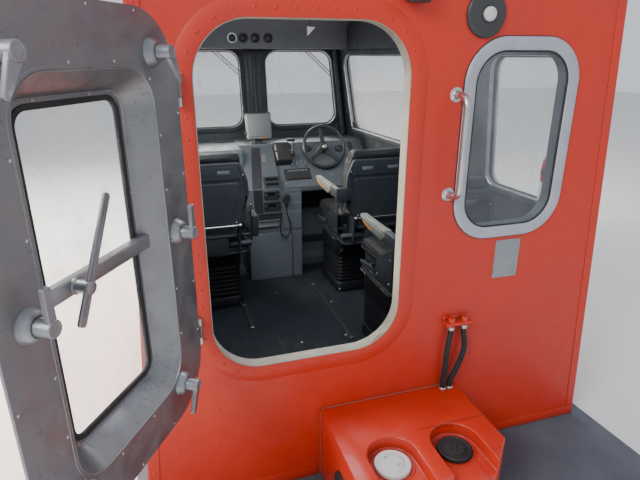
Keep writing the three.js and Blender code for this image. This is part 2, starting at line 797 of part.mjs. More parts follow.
// Both wipers are parked at the starboard edge of their pane
function wiper(side) {
  const n = frontPlane(0).n;
  const at = (x, off, z) => {
    const y = CABIN.fore + CABIN.rake * (z - DECK.thick);
    return [x, y + n[1] * off, z + n[2] * off];
  };
  const x = side * 375;
  const end = x + 280;
  const arms = [-16, 16].map((dx) => rod(5, at(x + dx, 26, 1740), at(end + dx, 26, 1486), 8));
  const base = solid(
    new THREE.BoxGeometry(80, 34, 60)
      .rotateX(-Math.atan(CABIN.rake))
      .translate(...at(x, 17 + GAP, 1735)),
  );
  const bridge = rod(7, at(end - 22, 26, 1488), at(end + 22, 26, 1488), 8);
  const blade = rod(8, at(end, 22, 1290), at(end, 22, 1680), 8);
  return union(base, ...arms, bridge, blade);
}

// A part of a seat, as wide either side of its middle and set as high as the seat is
function seatPart(seat, p, z0 = p.z0 + seat.lift) {
  return box(seat.x - p.half, seat.x + p.half, seat.y + p.y0, seat.y + p.y1, z0, p.z1 + seat.lift);
}

// The armrest stands on the aisle side, on a post from the shell
function armrest(seat) {
  const { x, y } = seat;
  const s = x > 0 ? -1 : 1;
  const side = (from, to, ...rest) => box(x + Math.min(s * from, s * to), x + Math.max(s * from, s * to), ...rest);
  return union(
    side(195, 296, y, y + 24, 780, 868),
    side(258, 296, y + 2, y + 110, 800, 862),
    side(250, 303, y + 100, y + 425, 812, 870),
  );
}

function seatFrame(seat) {
  const frame = union(
    seatPart(seat, SEAT.base, DECK.thick + GAP),
    seatPart(seat, SEAT.pan),
    seatPart(seat, SEAT.carrier),
    seatPart(seat, SEAT.link),
    seatPart(seat, SEAT.shell),
  );
  return seat.arm ? frame.add(armrest(seat)) : frame;
}

// Assembly

const cabin = new THREE.Group();
object.add(cabin);
const SIDES = [
  { name: 'port', s: -1 },
  { name: 'starboard', s: 1 },
];

place(cabin, 'deck_plate', deckPlate(), 'deck');
place(cabin, 'aft_wall', aftWall(), 'hull');
place(cabin, 'front_wall', frontWall(), 'hull');
place(cabin, 'roof', roof(), 'hull');
place(cabin, 'opening_trim', openingTrim(), 'trim');
place(cabin, 'aft_window_frame', aftFrame(), 'frame');
place(cabin, 'aft_window_glass', aftGlass(), 'glass');
for (const { name, s } of SIDES) {
  place(cabin, `side_wall_${name}`, sideWall(s), 'hull');
  place(cabin, `front_glass_${name}`, frontGlass(s), 'glass');
  for (const win of SIDE_WINDOWS) place(cabin, `side_glass_${win.name}_${name}`, sideGlass(s, win), 'glass');
  place(cabin, `wiper_${name}`, wiper(s), 'black');
}

HINGES.forEach((z, i) => place(cabin, `door_hinge_${i ? 'upper' : 'lower'}`, wallHinge(z), 'steel'));
const door = new THREE.Group();
door.position.set(DOOR.hinge[0], DOOR.hinge[1], 0);
door.rotation.z = (-DOOR.openDeg * Math.PI) / 180;
object.add(door);
place(door, 'door_panel', doorPanel(), 'aluminium');
place(door, 'door_glass', doorGlass(), 'glass');

place(cabin, 'grab_handle', grabHandle(), 'steel');
place(cabin, 'vent_disc', ventDisc(), 'black');
place(cabin, 'aft_lamp', aftLamp(), 'black');
place(cabin, 'spec_plate', specPlate(), 'frame');
place(cabin, 'hose_bracket', hoseBracket(), 'red');
for (const h of HOSES) place(cabin, h.name, hose(h), 'rubber');
place(cabin, 'deck_box', deckBox(), 'hull');
for (const cap of CAPS) place(cabin, cap.name, deckCap(cap), cap.look);

place(cabin, 'console', consoleBlock(), 'console');
place(cabin, 'monitor', monitor(), 'console');
place(cabin, 'throttle', throttle(), 'black');
place(cabin, 'radio_mic', mic(), 'black');
place(cabin, 'mic_cord', micCord(), 'rubber');
place(cabin, 'overhead_panel', overheadPanel(), 'lining');
place(cabin, 'extinguisher', extinguisher(), 'red');

const helm = new THREE.Group();
helm.position.set(HELM.x, HELM.y, HELM.z);
helm.rotation.x = ((90 - HELM.tilt) * Math.PI) / 180;
object.add(helm);
place(helm, 'steering_wheel', steeringWheel(), 'black');

for (const seat of SEATS) {
  place(cabin, `seat_frame_${seat.name}`, seatFrame(seat), 'black');
  place(cabin, `seat_cushion_${seat.name}`, seatPart(seat, SEAT.cushion), 'upholstery');
  place(cabin, `seat_back_${seat.name}`, seatPart(seat, SEAT.back), 'upholstery');
}

export default object;
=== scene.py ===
"""Wheelhouse of a rigid inflatable boat: its detail pieces, finishes, light and camera.

Metres, X to starboard, Y forward, Z up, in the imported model's own frame.
"""

from __future__ import annotations

import json
import logging
import math
import random
from dataclasses import dataclass
from enum import Enum
from typing import Callable, Iterable, Sequence

import bmesh
import bpy
from mathutils import Matrix, Vector
from mathutils.kdtree import KDTree

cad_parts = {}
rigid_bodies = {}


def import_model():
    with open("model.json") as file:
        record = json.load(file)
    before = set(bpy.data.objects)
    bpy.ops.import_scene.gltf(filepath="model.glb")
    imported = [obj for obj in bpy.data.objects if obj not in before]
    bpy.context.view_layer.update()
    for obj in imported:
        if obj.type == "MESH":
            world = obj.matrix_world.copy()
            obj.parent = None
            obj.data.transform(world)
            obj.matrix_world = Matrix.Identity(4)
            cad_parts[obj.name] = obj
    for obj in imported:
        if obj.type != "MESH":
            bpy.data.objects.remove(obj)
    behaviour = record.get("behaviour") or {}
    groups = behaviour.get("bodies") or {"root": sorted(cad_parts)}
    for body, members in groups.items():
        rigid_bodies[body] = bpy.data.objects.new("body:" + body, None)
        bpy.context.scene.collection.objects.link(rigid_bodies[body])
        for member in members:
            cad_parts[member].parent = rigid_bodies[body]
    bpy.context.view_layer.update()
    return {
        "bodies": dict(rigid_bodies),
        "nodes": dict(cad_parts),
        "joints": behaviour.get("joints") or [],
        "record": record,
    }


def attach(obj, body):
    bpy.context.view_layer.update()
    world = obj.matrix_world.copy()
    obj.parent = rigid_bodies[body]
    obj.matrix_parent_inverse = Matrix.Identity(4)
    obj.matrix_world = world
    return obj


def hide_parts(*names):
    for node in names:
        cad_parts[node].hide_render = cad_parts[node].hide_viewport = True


LOG = logging.getLogger("wheelhouse")
Point = tuple[float, float, float]
Flat = tuple[float, float]
Tone = tuple[float, float, float]

MM = 0.001
GAP = 0.3 * MM


def mm(*pairs: Flat) -> list[Flat]:
    """Gives, in metres, a profile that is drawn in millimetres."""
    return [(a * MM, b * MM) for a, b in pairs]


def hoops(ring: Iterable[Flat], segments: int) -> list[list[Point]]:
    """Gives the circles of a turned ring, from radii and heights in millimetres."""
    turns = [math.tau * k / segments for k in range(segments)]
    return [[(r * MM * math.cos(t), r * MM * math.sin(t), h * MM) for t in turns] for r, h in ring]


def box(x0: float, y0: float, x1: float, y1: float) -> list[Flat]:
    """Gives a rectangle's corners, anticlockwise from the low left one."""
    return [(x0, y0), (x1, y0), (x1, y1), (x0, y1)]


def both_sides(half: Sequence[Flat]) -> list[Flat]:
    """Gives an outline about the middle from its right half, the lowest point first."""
    return [*half, *((-x, y) for x, y in reversed(half))]


class Body(str, Enum):
    """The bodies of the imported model."""

    CABIN = "cabin"
    DOOR = "door"
    HELM = "helm"


def frame_at(origin: Sequence[float], normal: Sequence[float], up: Sequence[float] = (0, 0, 1)) -> Matrix:
    """Gives the frame of a face.

    Args:
        origin: The face's own origin.
        normal: Its outward direction, which becomes local Z.
        up: The direction that local Y follows as closely as it can.

    Returns:
        The matrix from the face's frame to the model's.
    """
    z = Vector(normal).normalized()
    y = (Vector(up) - z * Vector(up).dot(z)).normalized()
    x = y.cross(z)
    turn = Matrix((x, y, z)).transposed().to_4x4()
    return Matrix.Translation(Vector(origin)) @ turn


def rounded(corners: Sequence[Flat], radius: float | Sequence[float], segments: int = 10) -> list[Flat]:
    """Gives an outline's points, with an arc at each corner.

    Args:
        corners: The outline's corners, anticlockwise.
        radius: The arcs' radius, one for all or one for each.
        segments: The edges of each arc.

    Returns:
        The points, anticlockwise.
    """
    count = len(corners)
    radii = [radius] * count if isinstance(radius, (int, float)) else list(radius)
    points: list[Flat] = []
    for i, (corner, r) in enumerate(zip(corners, radii)):
        c = Vector(corner)
        a = (Vector(corners[i - 1]) - c).normalized()
        b = (Vector(corners[(i + 1) % count]) - c).normalized()
        half = a.angle(b) / 2
        middle = c + (a + b).normalized() * (r / math.sin(half))
        start = c + a * (r / math.tan(half)) - middle
        end = c + b * (r / math.tan(half)) - middle
        first = math.atan2(start.y, start.x)
        sweep = (math.atan2(end.y, end.x) - first + math.pi) % math.tau - math.pi
        for k in range(segments + 1):
            turn = first + sweep * k / segments
            points.append((middle.x + r * math.cos(turn), middle.y + r * math.sin(turn)))
    return points


def shrunk(corners: Sequence[Flat], inset: float) -> list[Flat]:
    """Moves an outline's edges inwards, or outwards where the inset is below nought."""
    count = len(corners)
    moved: list[Flat] = []
    for i, corner in enumerate(corners):
        c = Vector(corner)
        a = (Vector(corners[i - 1]) - c).normalized()
        b = (Vector(corners[(i + 1) % count]) - c).normalized()
        half = a.angle(b) / 2
        moved.append(tuple(c + (a + b).normalized() * (inset / math.sin(half))))
    return moved


def walk(points: Sequence[Flat], pitch: float) -> list[Flat]:
    """Gives places at an even pitch round a closed outline."""
    ends = [Vector(p) for p in points]
    lengths = [(ends[(i + 1) % len(ends)] - p).length for i, p in enumerate(ends)]
    count = max(1, round(sum(lengths) / pitch))
    step = sum(lengths) / count
    places: list[Flat] = []
    passed, due = 0.0, step / 2
    for i, length in enumerate(lengths):
        while due < passed + length:
            share = (due - passed) / length
            places.append(tuple(ends[i].lerp(ends[(i + 1) % len(ends)], share)))
            due += step
        passed += length
    return places


def on_plane(matrix: Matrix, points: Iterable[Sequence[float]]) -> list[Flat]:
    """Gives points of the model as an anticlockwise outline in a face's frame."""
    back = matrix.inverted()
    flat = [(back @ Vector(point)).to_2d() for point in points]
    area = sum(a.cross(b) for a, b in zip(flat, flat[1:] + flat[:1]))
    return [tuple(p) for p in (flat if area > 0 else reversed(flat))]


def smooth_route(points: Sequence[Sequence[float]], per_span: int = 6) -> list[Vector]:
    """Gives a smooth run through points, with several steps between each two."""
    ends = [Vector(p) for p in points]
    ends = [2 * ends[0] - ends[1], *ends, 2 * ends[-1] - ends[-2]]
    run: list[Vector] = []
    for a, b, c, d in zip(ends, ends[1:], ends[2:], ends[3:]):
        for k in range(per_span):
            t = k / per_span
            square, cube = 2 * a - 5 * b + 4 * c - d, 3 * b - a - 3 * c + d
            run.append(0.5 * (2 * b + (c - a) * t + square * t * t + cube * t**3))
    run.append(ends[-2])
    return run


def run_length(points: Sequence[Vector]) -> float:
    """Gives the length of a run of points."""
    return sum((b - a).length for a, b in zip(points, points[1:]))


@dataclass(frozen=True)
class CabinLines:
    """The planes of the wheelhouse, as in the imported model."""

    deck: float = 0.030
    wall: float = 0.045
    aft: float = -1.350
    fore: float = 1.129
    half_aft: float = 0.970
    half_fore: float = 0.850
    top: float = 1.960
    lean: float = 0.069
    rake: float = 0.137

    @property
    def taper(self) -> float:
        """The half width lost per metre forward."""
        return (self.half_aft - self.half_fore) / (self.fore - self.aft)

    def half(self, y: float, z: float) -> float:
        """Gives the outer half width at a place along the side."""
        return self.half_aft - self.taper * (y - self.aft) - self.lean * (z - self.deck)

    def front(self, z: float) -> float:
        """Gives the front wall's outer face at a height."""
        return self.fore + self.rake * (z - self.deck)

    def aft_frame(self, x: float = 0.0, z: float = 0.0, out: float = 0.0) -> Matrix:
        """Gives a frame on the aft wall, its local Z pointing aft."""
        return frame_at((x, self.aft - out, z), (0, -1, 0))

    def side_normal(self, side: int) -> Vector:
        """Gives the outward direction of a side wall."""
        return Vector((side, self.taper, self.lean)).normalized()

    def front_normal(self) -> Vector:
        """Gives the outward direction of the front wall."""
        return Vector((0, 1, -self.rake)).normalized()

    def on_side(self, side: int, y: float, z: float, depth: float = 0.0) -> Vector:
        """Gives a point of a side wall, at a depth under its outer face."""
        raw = math.hypot(1, self.taper, self.lean)
        return Vector((side * (self.half(y, z) - depth * raw), y, z))

    def on_front(self, x: float, z: float, depth: float = 0.0) -> Vector:
        """Gives a point of the front wall, at a depth under its outer face."""
        return Vector((x, self.front(z) - depth * math.hypot(1, self.rake), z))


LINES = CabinLines()


class Sheet:
    """A material's node tree, with short calls for the nodes that the finishes use."""

    def __init__(self, name: str) -> None:
        """Starts an empty material with a Principled shader.

        Args:
            name: The material's name.
        """
        self.material = bpy.data.materials.new(name)
        self.material.use_nodes = True
        self.tree = self.material.node_tree
        self.shader = self.tree.nodes["Principled BSDF"]
        self.coords = self.tree.nodes.new("ShaderNodeTexCoord")

    def node(self, kind: str, **settings: object) -> bpy.types.Node:
        """Adds a node and sets its properties and sockets.

        Args:
            kind: The node's type.
            settings: Properties, or sockets where the name is a socket's.

        Returns:
            The new node.
        """
        made = self.tree.nodes.new(kind)
        for key, value in settings.items():
            if hasattr(made, key):
                setattr(made, key, value)
            else:
                self.feed(made.inputs[key.replace("_", " ")], value)
        return made

    def feed(self, socket: bpy.types.NodeSocket, value: object) -> None:
        """Links a socket to an output, or sets its own value."""
        if isinstance(value, bpy.types.NodeSocket):
            self.tree.links.new(value, socket)
        else:
            socket.default_value = value

    def place(self, scale: Point = (1, 1, 1), turn: Point = (0, 0, 0)) -> bpy.types.NodeSocket:
        """Gives Object coordinates, stretched and turned."""
        mapping = self.node("ShaderNodeMapping", Scale=scale, Rotation=turn)
        self.feed(mapping.inputs["Vector"], self.coords.outputs["Object"])
        return mapping.outputs["Vector"]

    def noise(
        self,
        scale: float,
        detail: float = 4.0,
        rough: float = 0.55,
        stretch: Point = (1, 1, 1),
        turn: Point = (0, 0, 0),
        warp: float = 0.0,
    ) -> bpy.types.NodeSocket:
        """Gives a noise value from 0 to 1."""
        made = self.node("ShaderNodeTexNoise", Scale=scale, Detail=detail, Roughness=rough, Distortion=warp)
        self.feed(made.inputs["Vector"], self.place(stretch, turn))
        return made.outputs["Fac"]

    def cells(self, scale: float, stretch: Point = (1, 1, 1), feature: str = "F1") -> bpy.types.NodeSocket:
        """Gives the distance to the nearest of many scattered points."""
        made = self.node("ShaderNodeTexVoronoi", Scale=scale, feature=feature)
        self.feed(made.inputs["Vector"], self.place(stretch))
        return made.outputs["Distance"]

    def span(
        self, value: bpy.types.NodeSocket, low: float, high: float, to: Flat = (0, 1)
    ) -> bpy.types.NodeSocket:
        """Maps a value's stretch from low to high smoothly onto another one."""
        made = self.node("ShaderNodeMapRange", interpolation_type="SMOOTHSTEP")
        self.feed(made.inputs["Value"], value)
        self.feed(made.inputs["From Min"], low)
        self.feed(made.inputs["From Max"], high)
        self.feed(made.inputs["To Min"], to[0])
        self.feed(made.inputs["To Max"], to[1])
        return made.outputs["Result"]

    def math(self, kind: str, a: object, b: object = 0.0) -> bpy.types.NodeSocket:
        """Gives the result of a sum, product or like step on two values."""
        made = self.node("ShaderNodeMath", operation=kind)
        self.feed(made.inputs[0], a)
        self.feed(made.inputs[1], b)
        return made.outputs[0]

    def mix(self, share: object, a: object, b: object, blend: str = "MIX") -> bpy.types.NodeSocket:
        """Mixes two colours."""
        made = self.node("ShaderNodeMix", data_type="RGBA", blend_type=blend)
        self.feed(made.inputs[0], share)
        self.feed(made.inputs[6], a)
        self.feed(made.inputs[7], b)
        return made.outputs[2]

    def axis(self, which: str) -> bpy.types.NodeSocket:
        """Gives one Object coordinate."""
        parts = self.node("ShaderNodeSeparateXYZ")
        self.feed(parts.inputs[0], self.coords.outputs["Object"])
        return parts.outputs[which]

    def along(self, direction: Sequence[float]) -> bpy.types.NodeSocket:
        """Gives how far a point lies along a direction."""
        made = self.node("ShaderNodeVectorMath", operation="DOT_PRODUCT")
        self.feed(made.inputs[0], self.coords.outputs["Object"])
        self.feed(made.inputs[1], tuple(direction))
        return made.outputs["Value"]

    def crevice_shade(self, reach: float) -> bpy.types.NodeSocket:
        """Gives 1 in corners and 0 on open faces, from ambient occlusion: the mask of the painted corner
        shade.
        """
        made = self.node("ShaderNodeAmbientOcclusion", samples=4)
        self.feed(made.inputs["Distance"], reach)
        return self.span(made.outputs["AO"], 0.35, 0.85, (1, 0))

    def bump(
        self,
        height: bpy.types.NodeSocket,
        depth: float,
        strength: float = 1.0,
        under: bpy.types.NodeSocket | None = None,
    ) -> bpy.types.NodeSocket:
        """Gives a normal roughened by a height."""
        made = self.node("ShaderNodeBump", Strength=strength, Distance=depth)
        self.feed(made.inputs["Height"], height)
        if under is not None:
            self.feed(made.inputs["Normal"], under)
        return made.outputs["Normal"]

    def paint(self, **sockets: object) -> None:
        """Feeds the shader's sockets, named with underscores for spaces."""
        for key, value in sockets.items():
            self.feed(self.shader.inputs[key.replace("_", " ")], value)


def opaque(tone: Tone) -> tuple[float, float, float, float]:
    """Gives a colour with full alpha."""
    return (*tone, 1.0)


@dataclass(frozen=True)
class Finish:
    """A painted, moulded or metal surface with its grain, mottling, dirt, scratches and painted shade in
    its corners.
    """

    name: str
    tone: Tone
    shade: Tone
    mottle: float = 5.0
    mottle_share: float = 0.5
    rough: Flat = (0.35, 0.55)
    metallic: float = 0.0
    coat: float = 0.0
    grain: float = 400.0
    grain_depth: float = 0.05 * MM
    grain_stretch: Point = (1, 1, 1)
    wave: float = 0.0
    dirt: float = 0.25
    dirt_and_shade_tone: Tone = (0.05, 0.04, 0.035)
    # How much corners and recesses darken towards the dirt tone, found by ambient occlusion: partly grime,
    # partly painted shade.
    crevice_shade: float = 0.0
    scratch: float = 0.0
    scratch_tone: Tone = (0.8, 0.8, 0.8)
    streak: float = 0.0
    streak_tone: Tone = (0.75, 0.7, 0.62)

    def material(self) -> bpy.types.Material:
        """Gives the finish's material, made on its first use."""
        known = bpy.data.materials.get(self.name)
        if known:
            return known
        sheet = Sheet(self.name)
        colour = self.colour(sheet)
        colour = self.worn(sheet, colour)
        wear = sheet.noise(14, 5, 0.6)
        sheet.paint(
            Base_Color=colour, Roughness=sheet.span(wear, 0.3, 0.7, self.rough), Normal=self.relief(sheet)
        )
        sheet.shader.inputs["Metallic"].default_value = self.metallic
        sheet.shader.inputs["Coat Weight"].default_value = self.coat
        sheet.shader.inputs["Coat Roughness"].default_value = 0.12
        return sheet.material

    def colour(self, sheet: Sheet) -> bpy.types.NodeSocket:
        """Gives the clean surface's colour."""
        large = sheet.span(sheet.noise(self.mottle, 5, 0.6, warp=0.3), 0.35, 0.65, (0, self.mottle_share))
        return sheet.mix(large, opaque(self.tone), opaque(self.shade))

    def worn(self, sheet: Sheet, colour: bpy.types.NodeSocket) -> bpy.types.NodeSocket:
        """Lays streaks, specks, dirt and scratches over a colour, then painted shade in its corners and
        recesses.
        """
        if self.streak:
            runs = sheet.noise(9, 6, 0.7, stretch=(1, 1, 0.08))
            colour = sheet.mix(
                sheet.span(runs, 0.52, 0.78, (0, self.streak)), colour, opaque(self.streak_tone)
            )
        if self.dirt:
            specks = sheet.noise(90, 3, 0.6)
            patch = sheet.noise(3.5, 4, 0.6)
            share = sheet.math("MULTIPLY", sheet.span(specks, 0.6, 0.75), sheet.span(patch, 0.4, 0.7))
            share = sheet.math("MULTIPLY", share, self.dirt)
            colour = sheet.mix(share, colour, opaque(self.dirt_and_shade_tone))
        if self.scratch:
            fine = sheet.noise(30, 2, 0.5, stretch=(1, 0.06, 1), turn=(0.5, 0.3, 0.9))
            cross = sheet.noise(26, 2, 0.5, stretch=(0.05, 1, 1), turn=(0.2, 0.7, 0.4))
            lines = sheet.math("MAXIMUM", sheet.span(fine, 0.68, 0.74), sheet.span(cross, 0.69, 0.74))
            colour = sheet.mix(
                sheet.math("MULTIPLY", lines, self.scratch), colour, opaque(self.scratch_tone)
            )
        # Painted shade, partly grime: corners and recesses darken towards the dirt tone where ambient
        # occlusion is high.
        if self.crevice_shade:
            share = sheet.math("MULTIPLY", sheet.crevice_shade(0.03), self.crevice_shade)
            colour = sheet.mix(share, colour, opaque(self.dirt_and_shade_tone))
        return colour

    def relief(self, sheet: Sheet) -> bpy.types.NodeSocket:
        """Gives the surface's normal, from its waves and its grain."""
        under = None
        if self.wave:
            under = sheet.bump(sheet.noise(6, 2, 0.4), self.wave)
        grain = sheet.noise(self.grain, 3, 0.6, stretch=self.grain_stretch)
        return sheet.bump(grain, self.grain_depth, under=under)


@dataclass(frozen=True)
class LinedShell(Finish):
    """A moulded wall: gelcoat outside, dark lining inside and on the inner part of its edges."""

    lining: Tone = (0.020, 0.023, 0.029)
    lining_shade: Tone = (0.035, 0.038, 0.045)

    def worn(self, sheet: Sheet, colour: bpy.types.NodeSocket) -> bpy.types.NodeSocket:
        """Lays the wear and the painted corner shade on the gelcoat, then the lining where the wall faces
        inwards.
        """
        colour = super().worn(sheet, colour)
        fabric = sheet.mix(
            sheet.span(sheet.noise(60, 4, 0.7), 0.35, 0.65), opaque(self.lining), opaque(self.lining_shade)
        )
        return sheet.mix(self.inward(sheet), colour, fabric)

    def inward(self, sheet: Sheet) -> bpy.types.NodeSocket:
        """Gives 1 on the cabin's inner faces and 0 outside."""
        cut = 0.4 * LINES.wall
        deepest = None
        z0 = LINES.deck
        planes = [(Vector((0, -1, 0)), Vector((0, LINES.aft, 0)))]
        planes.append((LINES.front_normal(), Vector((0, LINES.fore, z0))))
        for side in (-1, 1):
            planes.append((LINES.side_normal(side), Vector((side * LINES.half_aft, LINES.aft, z0))))
        planes.append((Vector((0, 0, 1)), Vector((0, 0, LINES.top + LINES.wall - 4 * MM))))
        for normal, point in planes:
            depth = sheet.math("SUBTRACT", normal.dot(point), sheet.along(normal))
            deepest = depth if deepest is None else sheet.math("MINIMUM", deepest, depth)
        return sheet.math("GREATER_THAN", deepest, cut)


@dataclass(frozen=True)
class SeatPlastic(Finish):
    """Moulded seat plastic: a dusty grey shell over a black base."""

    base_tone: Tone = (0.008, 0.009, 0.012)
    base_top: float = 0.474

    def worn(self, sheet: Sheet, colour: bpy.types.NodeSocket) -> bpy.types.NodeSocket:
        """Lays the wear on the shell, then the base's tone below its top."""
        low = sheet.math("LESS_THAN", sheet.along(Vector((0, 0, 1))), self.base_top)
        return sheet.mix(low, super().worn(sheet, colour), opaque(self.base_tone))


@dataclass(frozen=True)
class Pane(Finish):
    """Window glass with salt film, dust and dried drops."""

    film: float = 0.5

    def material(self) -> bpy.types.Material:
        """Gives the glass, clear enough to look through from both sides."""
        known = bpy.data.materials.get(self.name)
        if known:
            return known
        sheet = Sheet(self.name)
        film = sheet.span(sheet.noise(2.2, 6, 0.7, warp=0.6), 0.38, 0.72, (0.15, 1.0))
        drops = sheet.span(sheet.noise(55, 3, 0.6), 0.62, 0.7)
        runs = sheet.span(sheet.noise(16, 5, 0.6, stretch=(1, 1, 0.1)), 0.5, 0.75)
        dust = sheet.math(
            "MAXIMUM", sheet.math("MULTIPLY", drops, 0.55), sheet.math("MULTIPLY", runs, 0.45)
        )
        dust = sheet.math("MAXIMUM", dust, sheet.math("MULTIPLY", film, 0.5))
        sheet.paint(
            Base_Color=sheet.mix(film, opaque(self.tone), opaque(self.shade)),
            Roughness=sheet.span(dust, 0.0, 0.8, self.rough),
            Alpha=sheet.span(dust, 0.0, 0.9, (0.10, 0.10 + self.film)),
            Normal=sheet.bump(sheet.noise(5, 2, 0.4), 0.4 * MM),
        )
        return sheet.material


@dataclass(frozen=True)
class Grit(Finish):
    """Non-slip deck paint, coarse and scuffed."""

    def relief(self, sheet: Sheet) -> bpy.types.NodeSocket:
        """Gives the grains of the non-slip over the paint's own waves."""
        under = sheet.bump(sheet.noise(9, 3, 0.5), 1.0 * MM)
        grains = sheet.span(sheet.cells(260), 0.0, 0.6, (1, 0))
        return sheet.bump(grains, 0.8 * MM, under=under)


@dataclass(frozen=True)
class Hide(Finish):
    """Imitation leather: a net of creases over soft folds."""

    def relief(self, sheet: Sheet) -> bpy.types.NodeSocket:
        """Gives the pebbled grain and the wrinkles of use."""
        under = sheet.bump(sheet.noise(11, 4, 0.6, warp=0.8), 1.2 * MM)
        pebbles = sheet.span(sheet.cells(420, feature="DISTANCE_TO_EDGE"), 0.0, 0.12)
        return sheet.bump(pebbles, 0.25 * MM, under=under)


@dataclass(frozen=True)
class RibbedMat(Finish):
    """A floor mat with fine ribs across the cabin."""

    pitch: float = 9 * MM

    def relief(self, sheet: Sheet) -> bpy.types.NodeSocket:
        """Gives the ribs over the mat's slow waves."""
        under = sheet.bump(sheet.noise(5, 3, 0.5), 2.0 * MM)
        wave = sheet.math("SINE", sheet.math("MULTIPLY", sheet.axis("Y"), math.tau / self.pitch))
        return sheet.bump(sheet.span(wave, -0.4, 0.6), 0.7 * MM, under=under)


